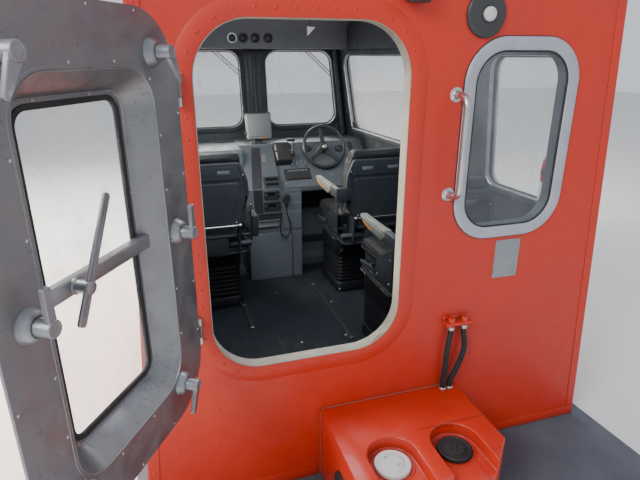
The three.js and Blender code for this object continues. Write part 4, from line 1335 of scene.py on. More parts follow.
@dataclass
class Opening(Build):
    """The door opening's pale edge liner and the riveted band round it."""

    low: Flat = (-0.688, 0.590)
    high: Flat = (0.011, 1.755)
    corner: float = 0.175
    band: float = 0.060
    rivet_line: float = 0.027
    pitch: float = 0.062
    liner: float = 3 * MM
    torn: tuple[Point, ...] = ((200, 236, 9 * MM), (296, 322, 12 * MM))
    torn_steps: int = 12

    @property
    def corners(self) -> list[Flat]:
        """The opening's corners on the aft wall."""
        return box(*self.low, *self.high)

    def build(self) -> None:
        """Makes the liner, its torn ends, the band and its rivets."""
        face = LINES.aft_frame()
        t, deep = self.liner, LINES.wall + 3 * MM
        liner = Bench.moulding(
            "opening_liner",
            self.corners,
            self.corner,
            [
                (GAP, 0.2 * MM), (GAP, 1.0 * MM), (1.3 * MM, 1.6 * MM), (t - 0.6 * MM, 1.2 * MM),
                (t, 0.2 * MM), (t, -deep + 1 * MM), (t - 0.8 * MM, -deep), (GAP, -deep),
            ],
            face,
            28,
        )
        self.add(liner, Coats.TRIM, "edge_trim", ["opening_trim"])
        band = Bench.moulding(
            "opening_band",
            self.corners,
            self.corner,
            [
                (-self.band, -0.1 * MM), (-self.band, 0.7 * MM), (-self.band + 1.2 * MM, 1.5 * MM),
                (-1.6 * MM, 1.5 * MM), (-0.4 * MM, 0.9 * MM), (-0.4 * MM, -0.1 * MM),
            ],
            face,
            28,
        )
        self.add(band, Coats.HULL, "hull_paint")
        line = rounded(shrunk(self.corners, -self.rivet_line), self.corner + self.rivet_line, 24)
        places = [face @ Matrix.Translation((x, z, 1.4 * MM)) for x, z in walk(line, self.pitch)]
        rivets = Bench.copies("opening_rivets", Bench.stud("rivet", 6 * MM, 2.2 * MM), places)
        self.add(rivets, Coats.HULL, "hull_paint")
        self.torn_ends()

    def torn_ends(self) -> None:
        """Lifts the liner's loose strips at the two lower corners."""
        parts = []
        for start, end, lift in self.torn:
            middle_x = self.low[0] + self.corner if start < 270 else self.high[0] - self.corner
            middle_z = self.low[1] + self.corner
            rings = []
            for k in range(self.torn_steps + 1):
                share = k / self.torn_steps
                turn = math.radians(start + (end - start) * share)
                jag = 1.5 * MM * math.sin(9 * share + start)
                curl = lift * math.sin(math.pi * min(share * 1.25, 1.0))
                inner = self.corner - self.liner - curl - 1 * MM
                outer = self.corner - self.liner - 0.2 * MM
                near, far = 0.5 * MM, -12 * MM + jag
                section = ((outer, near), (inner, near - 1 * MM), (inner, near - 3 * MM), (outer, far))
                x, z = math.cos(turn), math.sin(turn)
                rings.append([(middle_x + x * r, middle_z + z * r, h) for r, h in section])
            parts.append(Bench.loft("strip", rings, LINES.aft_frame(), caps=True))
        self.add(Bench.join("torn_liner", parts), Coats.TRIM, "edge_trim")


@dataclass
class Glazing(Build):
    """The frames and rubber rings of the windows, outside and inside."""

    aft_middle: Flat = (0.4475, 1.350)
    aft_size: Flat = (0.473, 0.724)
    aft_corner: float = 0.155
    aft_band: float = 0.045
    front_inner: tuple[float, float] = (0.128, 0.074)
    front_outer: Flat = (0.660, 0.620)
    front_z: Flat = (1.100, 1.680)
    front_corners: tuple[float, ...] = (0.100, 0.100, 0.100, 0.100)
    fore: tuple[Flat, ...] = ((0.150, 1.085), (1.040, 1.085), (1.176, 1.650), (0.150, 1.650))
    fore_corners: tuple[float, ...] = (0.070, 0.090, 0.028, 0.070)
    aft_side: tuple[Flat, ...] = ((-1.130, 1.020), (-0.680, 1.020), (-0.680, 1.650), (-1.130, 1.650))
    aft_side_corners: tuple[float, ...] = (0.070, 0.070, 0.070, 0.070)
    clamp_edge: tuple[Flat, ...] = (
        (-30, 0), (-30, 3), (-28, 5), (-6, 5), (1, 3), (1, -16), (-1, -16), (-1, 0)
    )
    lip_edge: tuple[Flat, ...] = ((1.2, -16), (1.2, 5), (-1, 9.5), (0.5, 10.5), (3.5, 7), (3.5, -16))
    cover_edge: tuple[Flat, ...] = (
        (-38, 0), (-37, 4), (-33, 7), (-12, 9), (-4, 8), (0.5, 4), (1, -18), (-1, -18), (-1, 0)
    )

    def build(self) -> None:
        """Makes the aft window's frame and the rings of the other windows."""
        self.aft_window()
        outside, inside, lips, seals = [], [], [], []
        for matrix, corners, radii in self.faces(0.0):
            outside.append(self.clamp(matrix, corners, radii))
            seals.append(self.seal(matrix, corners, radii, -18 * MM))
        for matrix, corners, radii in self.faces(LINES.wall):
            inside.append(self.cover(matrix, corners, radii))
            lips.append(self.lip(matrix, corners, radii))
            seals.append(self.seal(matrix, corners, radii, -21 * MM))
        self.add(Bench.join("window_clamps", outside), Coats.FRAME, "window_frame")
        self.add(Bench.join("window_covers", inside), Coats.LINING, "lining")
        self.add(Bench.join("window_lips", lips), Coats.RAIL, "window_frame")
        self.add(Bench.join("window_seals", seals), Coats.RUBBER, "rubber")

    def faces(self, depth: float) -> Iterable[tuple[Matrix, list[Flat], tuple[float, ...]]]:
        """Gives each moulded window's frame, outline and corners, outside or at a depth inside."""
        flip = -1 if depth else 1
        z0, z1 = self.front_z
        for side, inner in zip((-1, 1), self.front_inner):
            low, high = self.front_outer
            outline = ((inner, z0), (low, z0), (high, z1), (inner, z1))
            points = [LINES.on_front(side * x, z, depth) for x, z in outline]
            matrix = frame_at(points[0], flip * LINES.front_normal())
            yield matrix, on_plane(matrix, points), self.front_corners
            for window, radii in ((self.fore, self.fore_corners), (self.aft_side, self.aft_side_corners)):
                points = [LINES.on_side(side, y, z, depth) for y, z in window]
                matrix = frame_at(points[0], flip * LINES.side_normal(side))
                yield matrix, on_plane(matrix, points), radii

    def clamp(self, matrix: Matrix, corners: list[Flat], radii: Sequence[float]) -> bpy.types.Object:
        """Makes an outer clamping frame with its screws."""
        ring = Bench.moulding("clamp", corners, radii, mm(*self.clamp_edge), matrix, 12)
        line = rounded(shrunk(corners, -17 * MM), [r + 17 * MM for r in radii], 12)
        places = [matrix @ Matrix.Translation((x, y, 4.9 * MM)) for x, y in walk(line, 0.11)]
        return Bench.join(
            "clamp", [ring, Bench.copies("screws", Bench.stud("screw", 4 * MM, 2 * MM, 10), places)]
        )

    def lip(self, matrix: Matrix, corners: list[Flat], radii: Sequence[float]) -> bpy.types.Object:
        """Makes the thin metal edge of the surround, next to the pane."""
        return Bench.moulding("lip", corners, radii, mm(*self.lip_edge), matrix, 12)

    def cover(self, matrix: Matrix, corners: list[Flat], radii: Sequence[float]) -> bpy.types.Object:
        """Makes the dark moulded surround inside the cabin."""
        return Bench.moulding("cover", corners, radii, mm(*self.cover_edge), matrix, 12)

    def seal(
        self, matrix: Matrix, corners: list[Flat], radii: Sequence[float], deep: float
    ) -> bpy.types.Object:
        """Makes the rubber that meets a pane."""
        return Bench.moulding(
            "seal",
            corners,
            radii,
            [
                (0.2 * MM, deep + 9 * MM), (3 * MM, deep + 9 * MM), (7 * MM, deep + 6 * MM),
                (9 * MM, deep + 0.2 * MM), (0.2 * MM, deep + 0.2 * MM),
            ],
            matrix,
            12,
        )

    def aft_window(self) -> None:
        """Makes the aft window's rounded frame, seals and inner surround."""
        x, z = self.aft_middle
        face = LINES.aft_frame(x, z)
        corners = Bench.rect(*self.aft_size)
        w = self.aft_band
        frame = Bench.moulding(
            "aft_window_rim",
            corners,
            self.aft_corner,
            [
                (0.0, GAP), (0.0, 4 * MM), (1.5 * MM, 6.5 * MM), (5 * MM, 8.2 * MM), (12 * MM, 8.3 * MM),
                (30 * MM, 8.3 * MM), (33 * MM, 7.2 * MM), (36 * MM, 7.2 * MM), (w - 2 * MM, 5 * MM),
                (w, 3 * MM), (w, GAP),
            ],
            face,
            28,
        )
        self.add(frame, Coats.FRAME, "window_frame", ["aft_window_frame"])
        seals = [
            Bench.moulding(
                "outer_seal", corners, self.aft_corner, mm((-2.5, 0), (-2.2, 2), (-0.2, 2.6), (-0.2, 0)),
                face, 28,
            ),
            Bench.moulding(
                "inner_seal",
                corners,
                self.aft_corner,
                [
                    (w + 0.2 * MM, 0.4 * MM), (w + 0.2 * MM, 3.5 * MM), (w + 3 * MM, 3 * MM),
                    (w + 6 * MM, 0.4 * MM),
                ],
                face,
                28,
            ),
        ]
        self.add(Bench.join("aft_window_seals", seals), Coats.RUBBER, "rubber")
        inner = frame_at((x, LINES.aft + LINES.wall, z), (0, 1, 0))
        surround = Bench.moulding(
            "aft_window_cover",
            corners,
            self.aft_corner,
            [
                (8 * MM, 0.0), (9 * MM, 5 * MM), (14 * MM, 7 * MM), (36 * MM, 8 * MM), (w + 2 * MM, 4 * MM),
                (w + 2 * MM, -37 * MM), (w - 3 * MM, -37 * MM), (w - 3 * MM, 0.0),
            ],
            inner,
            20,
        )
        self.add(surround, Coats.LINING, "lining")


@dataclass
class Door(Build):
    """The open weathertight door: a pressed aluminium pan with dogs, rail and lever."""

    body: Body = Body.DOOR
    hinge: Flat = (-0.728, -1.368)
    open_deg: float = 121.4
    from_hinge: float = 0.027
    width: float = 0.723
    bottom: float = 0.580
    top: float = 1.763
    corner: float = 0.178
    plate: float = 8 * MM
    face: float = 12 * MM
    flange: float = 0.128
    pan_low: float = 0.708
    pan_high: float = 1.625
    pan_corner: float = 0.098
    depth: float = 0.065
    slope: float = 0.050
    lip: float = 0.014
    rail_z: float = 1.168
    rows: tuple[tuple[float, float, float], ...] = (
        (1.660, 0.116, 28), (1.171, 0.079, 180), (0.692, 0.139, -26)
    )
    straps: tuple[float, ...] = (0.780, 1.560)

    def __post_init__(self) -> None:
        """Works out the door's frames."""
        x, y = self.hinge
        swing = Matrix.Translation((x, y, 0)) @ Matrix.Rotation(math.radians(-self.open_deg), 4, "Z")
        self.swing = swing
        self.centre = self.from_hinge + self.width / 2
        self.inner = swing @ frame_at((0, 0, 0), (0, 1, 0))

    def at(self, s: float, z: float, height: float = 0.0) -> Matrix:
        """Gives a frame on the inner side.

        Args:
            s: The distance from the hinge axis along the door.
            z: The height over the floor.
            height: The distance inwards from the hinge axis.

        Returns:
            The frame, its local Z pointing inwards and its local X towards the hinge.
        """
        return self.inner @ Matrix.Translation((-s, z, height))

    @property
    def pan(self) -> list[Flat]:
        """The recess's corners at the door's face, in the inner frame."""
        s0 = self.from_hinge + self.flange
        s1 = self.from_hinge + self.width - self.flange
        return box(-s1, self.pan_low, -s0, self.pan_high)

    @property
    def rim(self) -> list[Flat]:
        """The door's own corners, in the inner frame."""
        s0, s1 = self.from_hinge, self.from_hinge + self.width
        return box(-s1, self.bottom, -s0, self.top)

    def build(self) -> None:
        """Makes the panel, its beads, dogs, rail, lever, gasket and screws."""
        parts = [self.panel(), *self.hinge_straps()]
        self.add(Bench.join("door_pan", parts), Coats.DOOR, "door_aluminium", ["door_panel"])
        self.beads()
        self.gaskets()
        self.screws()
        self.rail()
        self.dogs()
        self.lever()

    def panel(self) -> bpy.types.Object:
        """Makes the flange and the pan in one sheet, walked from its outer edge in and back."""
        f, t = self.face, self.plate
        floor = f - self.depth
        segments = 20
        rings = []

        def loop(corners: list[Flat], radius: float, inset: float, height: float) -> None:
            """Adds one loop of the sheet."""
            soft = max(radius - inset, 1 * MM)
            rings.append([(x, y, height) for x, y in rounded(shrunk(corners, inset), soft, segments)])

        rim, pan = self.rim, self.pan
        r, p, s = self.corner, self.pan_corner, self.slope
        loop(rim, r, 0.0, f - t + 1 * MM)
        loop(rim, r, 0.0, f - 1 * MM)
        loop(rim, r, 1.0 * MM, f)
        loop(pan, p, -9 * MM, f)
        loop(pan, p, -7.5 * MM, f + 1.2 * MM)
        loop(pan, p, -2 * MM, f + 1.2 * MM)
        loop(pan, p, 0.0, f - 0.5 * MM)
        loop(pan, p, 2.5 * MM, f - 4 * MM)
        loop(pan, p, 0.5 * s, f - 0.45 * self.depth)
        loop(pan, p, s - 4 * MM, floor + 6 * MM)
        loop(pan, p, s - 0.5 * MM, floor + 1 * MM)
        loop(pan, p, s + 2 * MM, floor)
        loop(pan, p, s + self.lip - 1 * MM, floor)
        loop(pan, p, s + self.lip, floor - 1 * MM)
        loop(pan, p, s + self.lip, floor - t + 1 * MM)
        loop(pan, p, s + self.lip - 1 * MM, floor - t)
        loop(pan, p, s - 4 * MM, floor - t)
        loop(pan, p, 0.5 * s - 5 * MM, f - 0.45 * self.depth - t)
        loop(pan, p, -3 * MM, f - t - 3 * MM)
        loop(pan, p, -7 * MM, f - t)
        loop(rim, r, 1.0 * MM, f - t)
        return Bench.loft("panel", rings, self.inner, ring=True, angle=34)

    def hinge_straps(self) -> list[bpy.types.Object]:
        """Makes the straps on the outer face, each with its knuckle."""
        made = []
        back = self.face - self.plate
        for z in self.straps:
            low = (0.0, back - 6 * MM, z - 22 * MM)
            high = (self.from_hinge + 0.060, back + 0.5 * MM, z + 22 * MM)
            strap = Bench.block("strap", low, high, 1.2 * MM)
            knuckle = Bench.rod("knuckle", (0, 0, z - 22 * MM), (0, 0, z + 22 * MM), 7 * MM, 24, 0.6 * MM)
            made += [Bench.put(strap, self.swing), Bench.put(knuckle, self.swing)]
            for s in (0.040, 0.070):
                bolt = Bench.stud("bolt", 5 * MM, 3 * MM)
                made.append(Bench.put(bolt, self.swing @ frame_at((s, back - 6 * MM, z), (0, -1, 0))))
        return made

    def beads(self) -> None:
        """Runs the weld beads at the recess's edge, round the lip and at the rail's ends."""
        f = self.face
        floor = f - self.depth
        bead = Bench.moulding(
            "edge_bead",
            self.pan,
            self.pan_corner,
            [
                (-1.5 * MM, f + 0.8 * MM), (-1 * MM, f + 2.2 * MM), (0.5 * MM, f + 1.8 * MM),
                (1.2 * MM, f - 1.5 * MM),
            ],
            self.inner,
            20,
        )
        corners = shrunk(self.pan, self.slope)
        radius = self.pan_corner - self.slope
        foot = Bench.moulding(
            "foot_bead",
            corners,
            radius,
            [
                (-2 * MM, floor + 2 * MM), (0.0, floor + 3.6 * MM), (3.2 * MM, floor + 2 * MM),
                (4 * MM, floor - 0.5 * MM), (-1 * MM, floor - 0.5 * MM),
            ],
            self.inner,
            20,
        )
        blob = Bench.stud("blob", 4.5 * MM, 3.2 * MM, 10)
        line = rounded(shrunk(corners, 6 * MM), max(radius - 6 * MM, 2 * MM), 12)
        rng = random.Random(7)
        places = []
        for x, y in walk(line, 0.085):
            if rng.random() < 0.55:
                size = Matrix.Diagonal(
                    (rng.uniform(0.7, 1.5), rng.uniform(0.7, 1.3), rng.uniform(0.6, 1.1), 1)
                )
                places.append(self.inner @ Matrix.Translation((x, y, floor - 0.2 * MM)) @ size)
        welds = Bench.copies("blobs", blob, places)
        self.add(Bench.join("door_beads", [bead, foot, welds]), Coats.WELD, "door_aluminium")

    def gaskets(self) -> None:
        """Fits the black strip that holds the glass, and the seal behind the flange."""
        floor = self.face - self.depth
        corners = shrunk(self.pan, self.slope + self.lip)
        radius = self.pan_corner - self.slope - self.lip + 10 * MM
        strip = Bench.moulding(
            "glass_strip",
            corners,
            radius,
            [
                (-3 * MM, floor - 0.3 * MM), (-3 * MM, floor + 2.5 * MM), (4 * MM, floor + 3.5 * MM),
                (9 * MM, floor + 2 * MM), (10 * MM, floor + 0.2 * MM),
            ],
            self.inner,
            16,
        )
        back = Bench.moulding(
            "glass_strip_back",
            corners,
            radius,
            [
                (10 * MM, floor - 6.3 * MM), (9 * MM, floor - 9 * MM), (0.0, floor - 10 * MM),
                (-6 * MM, floor - 8.2 * MM), (0.4 * MM, floor - 6.3 * MM),
            ],
            self.inner,
            16,
        )
        self.add(Bench.join("door_gasket", [strip, back]), Coats.RUBBER, "rubber")

    def screws(self) -> None:
        """Sets the two rows of screw heads on the flange."""
        head = Bench.stud("head", 3.6 * MM, 1.8 * MM, 12)
        outer = walk(rounded(shrunk(self.rim, 11 * MM), self.corner - 11 * MM, 16), 0.172)
        inner = walk(rounded(shrunk(self.pan, -15 * MM), self.pan_corner + 15 * MM, 16), 0.150)
        places = [self.inner @ Matrix.Translation((x, y, self.face)) for x, y in outer + inner]
        self.add(Bench.copies("door_screws", head, places), Coats.STEEL, "steel")

    def rail(self) -> None:
        """Makes the folded mid-rail, welded across the recess."""
        floor = self.face - self.depth
        half = self.width / 2 - self.flange - 0.020
        s0, s1 = self.centre - half, self.centre + half
        low, high = self.rail_z - 20 * MM, self.rail_z + 20 * MM
        bar = Bench.block("bar", (s0, floor + 0.6 * MM, low), (s1, floor + 25 * MM, high), 5 * MM, 4)
        ends = []
        for s in (s0, s1):
            bead = Bench.block(
                "weld", (s - 5 * MM, floor + 4 * MM, low - 3 * MM),
                (s + 5 * MM, floor + 27 * MM, high + 3 * MM), 4 * MM, 3,
            )
            ends.append(bead)
        rail = Bench.join("door_rail", [bar, *ends])
        Bench.put(rail, self.swing)
        self.add(rail, Coats.RAIL, "door_aluminium")

    def dogs(self) -> None:
        """Makes the six dogs: a welded boss, a spindle and a blade on each."""
        parts, blades = [], []
        for z, inset, turn in self.rows:
            for s, lean in ((self.from_hinge + inset, turn), (self.from_hinge + self.width - inset, -turn)):
                spot = self.at(s, z, self.face)
                boss = mm(
                    (38, -0.3), (37, 3), (34.5, 7), (32.5, 12), (29, 17), (25, 20), (22, 21), (21, 20.5)
                )
                parts.append(Bench.turned("boss", boss, spot, 40))
                spindle = mm((19, 18), (19, 27), (18.5, 28), (18.5, 56), (17, 58), (13, 58), (12, 57))
                parts.append(Bench.turned("spindle", spindle, spot, 36))
                blades.append(self.blade(spot, lean, abs(turn) < 90 and z > 1))
        self.add(Bench.join("door_dogs", parts), Coats.WELD, "door_aluminium")
        self.add(Bench.join("door_dog_blades", blades), Coats.RAIL, "door_aluminium")

    def blade(self, spot: Matrix, lean: float, tapered: bool) -> bpy.types.Object:
        """Makes one blade, hanging from its spindle at a lean."""
        tip = 6 * MM if tapered else 10 * MM
        root = 17 * MM if tapered else 11 * MM
        corners = [(-tip, -0.085), (tip, -0.085), (root, 0.0), (-root, 0.0)]
        turn = Matrix.Rotation(math.radians(lean), 4, "Z") @ Matrix.Translation((0, 0, 44 * MM))
        profile = mm((1.5, 0), (0, 1.5), (0, 10.5), (1.5, 12))
        return Bench.moulding("blade", corners, 4 * MM, profile, spot @ turn, 4, caps=True)

    def lever(self) -> None:
        """Makes the long flat lever on the rail, its hub and the ridge along it."""
        floor = self.face - self.depth
        plane = floor + 25 * MM + 34 * MM
        top, low = Vector((0.385, 1.358)), Vector((0.535, 1.090))
        along = (top - low).normalized()
        length = (top - low).length
        turn = math.atan2(along.x, along.y)
        middle = (top + low) / 2
        matrix = self.at(middle.x, middle.y, plane) @ Matrix.Rotation(turn, 4, "Z")
        corners = [
            (-13 * MM, -length / 2), (13 * MM, -length / 2), (11 * MM, length / 2), (-11 * MM, length / 2)
        ]
        profile = mm((1.5, -4), (0, -2.5), (0, 2.5), (1.5, 4))
        flat = Bench.moulding("flat", corners, 9 * MM, profile, matrix, 6, caps=True)
        s = low.x + (top.x - low.x) * (self.rail_z - low.y) / (top.y - low.y)
        spot = self.at(s, self.rail_z, 0.0)
        hub = [
            (20 * MM, floor + 24 * MM), (20 * MM, floor + 29 * MM), (16 * MM, floor + 31 * MM),
            (16 * MM, plane + 3 * MM), (17 * MM, plane + 4 * MM), (16 * MM, plane + 8 * MM),
            (9 * MM, plane + 10 * MM),
        ]
        parts = [flat, Bench.turned("hub", hub, spot, 36)]
        ridge = Bench.block(
            "ridge", (-2 * MM, -length / 2 + 0.02, 3.5 * MM), (2 * MM, length / 2 - 0.02, 6 * MM), 1 * MM
        )
        parts.append(Bench.put(ridge, matrix))
        self.add(Bench.join("door_lever", parts), Coats.RAIL, "door_aluminium")


@dataclass
class AftFittings(Build):
    """The grab handle, ventilator, lamp, plate and strips on the aft wall."""

    wall: float = -1.3503
    handle_x: float = 0.184
    handle_z: Flat = (1.176, 1.525)
    handle_out: float = 0.073
    handle_bend: float = 0.040
    handle_radius: float = 12 * MM
    vent: Flat = (0.268, 1.777)
    lamp_low: Flat = (-0.0295, 1.804)
    lamp_high: Flat = (0.0455, 1.884)
    sign_low: Flat = (0.417, 0.811)
    sign_high: Flat = (0.530, 0.972)
    toes: tuple[Flat, ...] = ((0.300, 0.962), (-0.962, -0.312))
    toe_z: Flat = (0.0305, 0.076)
    angle_z: Flat = (0.08, 1.95)
    angle_edge: tuple[Flat, ...] = ((0, -0.1), (0, 2), (0.8, 2.8))

    def build(self) -> None:
        """Makes each fitting."""
        self.handle()
        self.ventilator()
        self.lamp()
        self.sign()
        self.strips()
        self.old_rivets()

    def handle(self) -> None:
        """Bends the polished handle and sets it on its two flanges."""
        x, (z0, z1) = self.handle_x, self.handle_z
        out, bend = self.wall - self.handle_out, self.handle_bend
        points: list[Point] = [(x, self.wall - 1 * MM, z0)]
        for z, way in ((z0, 1), (z1, -1)):
            for k in range(9):
                turn = math.radians((k if way > 0 else 8 - k) * 90 / 8)
                points.append(
                    (x, out + bend - bend * math.sin(turn), z + way * (bend - bend * math.cos(turn)))
                )
        points.append((x, self.wall - 1 * MM, z1))
        parts = [Bench.pipe("bar", points, self.handle_radius, 8, smooth=False)]
        screw = Bench.stud("screw", 3.5 * MM, 1.5 * MM)
        spots = []
        for z in (z0, z1):
            flange = mm((25, 0), (25, 2), (23, 3.6), (16, 5), (13.5, 8), (12.2, 12))
            parts.append(Bench.turned("flange", flange, frame_at((x, self.wall, z), (0, -1, 0)), 48))
            for turn in (30, 150, 270):
                dx, dz = 19 * MM * math.cos(math.radians(turn)), 19 * MM * math.sin(math.radians(turn))
                spots.append(frame_at((x + dx, self.wall - 4.2 * MM, z + dz), (0, -1, 0)))
        parts.append(Bench.copies("screws", screw, spots))
        self.add(Bench.join("grab_handle_bar", parts), Coats.STEEL, "steel", ["grab_handle"])

    def ventilator(self) -> None:
        """Turns the black disc and its pale centre knob."""
        face = frame_at((self.vent[0], self.wall, self.vent[1]), (0, -1, 0))
        disc = [
            (73, 0), (73, 5), (71.5, 8), (68, 10.5), (60, 13.5), (48, 16.5), (36, 18.6), (29, 19.4),
            (27, 18.4), (20, 18.4),
        ]
        ring = Bench.turned("vent_cover", mm(*disc), face, 72)
        self.add(ring, Coats.PLASTIC, "black_plastic", ["vent_disc"])
        knob = [(21, 17), (22.5, 19), (22.5, 26), (21, 29.5), (17, 31.4), (10, 32), (3, 32)]
        self.add(Bench.turned("vent_knob", mm(*knob), face, 48), Coats.WHITE, "cap_white")

    def lamp(self) -> None:
        """Makes the small floodlight over the door: case, bezel, lens and foot."""
        (x0, z0), (x1, z1) = self.lamp_low, self.lamp_high
        case = Bench.block("case", (x0, self.wall - 0.040, z0), (x1, self.wall - 0.010, z1), 6 * MM, 4)
        foot = Bench.block(
            "foot", (x0 + 0.018, self.wall - 0.012, z0 + 0.012), (x1 - 0.018, self.wall, z1 - 0.012), 2 * MM
        )
        middle = ((x0 + x1) / 2, self.wall - 0.040, (z0 + z1) / 2)
        face = frame_at(middle, (0, -1, 0))
        size = Bench.rect(x1 - x0 - 6 * MM, z1 - z0 - 6 * MM)
        bezel = Bench.moulding(
            "bezel", size, 8 * MM, mm((0, -1), (0, 5), (2, 7.5), (5, 7.5), (7, 2), (7, -1)), face, 8
        )
        self.add(
            Bench.join("aft_lamp_case", [case, foot, bezel]), Coats.PLASTIC, "black_plastic", ["aft_lamp"]
        )
        lens = Bench.moulding(
            "aft_lamp_lens", size, 8 * MM, mm((6, 0), (6, 3), (12, 4.5)), face, 8, caps=True
        )
        self.add(lens, Coats.FRAME, "window_frame")

    def sign(self) -> None:
        """Makes the blank plate with a pressed border and four rivets."""
        (x0, z0), (x1, z1) = self.sign_low, self.sign_high
        face = frame_at(((x0 + x1) / 2, self.wall, (z0 + z1) / 2), (0, -1, 0))
        size = Bench.rect(x1 - x0, z1 - z0)
        sheet = Bench.moulding(
            "sheet",
            size,
            4 * MM,
            mm((0, 0), (0, 1.4), (0.5, 1.8), (8, 1.8), (8.6, 1.3), (9.6, 1.3), (10.2, 1.8)),
            face,
            5,
            caps=True,
        )
        w, h = (x1 - x0) / 2 - 6 * MM, (z1 - z0) / 2 - 6 * MM
        places = [face @ Matrix.Translation((a * w, b * h, 1.5 * MM)) for a in (-1, 1) for b in (-1, 1)]
        rivets = Bench.copies("rivets", Bench.stud("rivet", 3 * MM, 1.4 * MM, 10), places)
        self.add(Bench.join("blank_plate", [sheet, rivets]), Coats.RAIL, "window_frame", ["spec_plate"])

    def strips(self) -> None:
        """Lays the toe strip along the deck and the angle strips up the wall's edges."""
        (low, high), (foot, head) = self.toe_z, self.angle_z
        parts = [
            Bench.block("toe", (x0, LINES.aft - 4 * MM, low), (x1, LINES.aft + 0.2 * MM, high), 1.5 * MM)
            for x0, x1 in self.toes
        ]
        for side in (-1, 1):
            aft = [
                (side * (LINES.half(LINES.aft, z) - d), LINES.aft, z)
                for z, d in ((foot, 0.002), (foot, 0.040), (head, 0.040), (head, 0.002))
            ]
            outer = [
                LINES.on_side(side, LINES.aft + d, z)
                for d, z in ((0.004, foot), (0.042, foot), (0.042, head), (0.004, head))
            ]
            beam = frame_at(outer[0], LINES.side_normal(side))
            for face, points in ((LINES.aft_frame(), aft), (beam, outer)):
                corners = on_plane(face, points)
                edge = mm(*self.angle_edge)
                parts.append(Bench.moulding("angle", corners, 2 * MM, edge, face, 3, caps=True))
        self.add(Bench.join("edge_strips", parts), Coats.HULL, "hull_paint")

    def old_rivets(self) -> None:
        """Sets the painted-over rivets of the wall's frames."""
        spots = [
            (-0.692, 0.501), (-0.691, 0.442), (-0.687, 0.330), (-0.704, 0.287), (-0.801, 0.328),
            (-0.847, 0.296), (-0.701, 0.143),
        ]
        spots += [(0.694, 0.478), (0.638, 0.241), (0.690, 0.186), (0.590, 0.170), (0.359, 0.481)]
        places = [LINES.aft_frame(x, z) for x, z in spots]
        for side in (-1, 1):
            for k in range(19):
                z = 0.12 + 0.098 * k
                places.append(LINES.aft_frame(side * (LINES.half(LINES.aft, z) - 0.021), z, 2.4 * MM))
                spot = LINES.on_side(side, LINES.aft + 0.023, z) + LINES.side_normal(side) * 2.4 * MM
                places.append(frame_at(spot, LINES.side_normal(side)))
        rivets = Bench.copies("wall_rivets", Bench.stud("rivet", 5.5 * MM, 1.8 * MM, 10), places)
        self.add(rivets, Coats.HULL, "hull_paint")


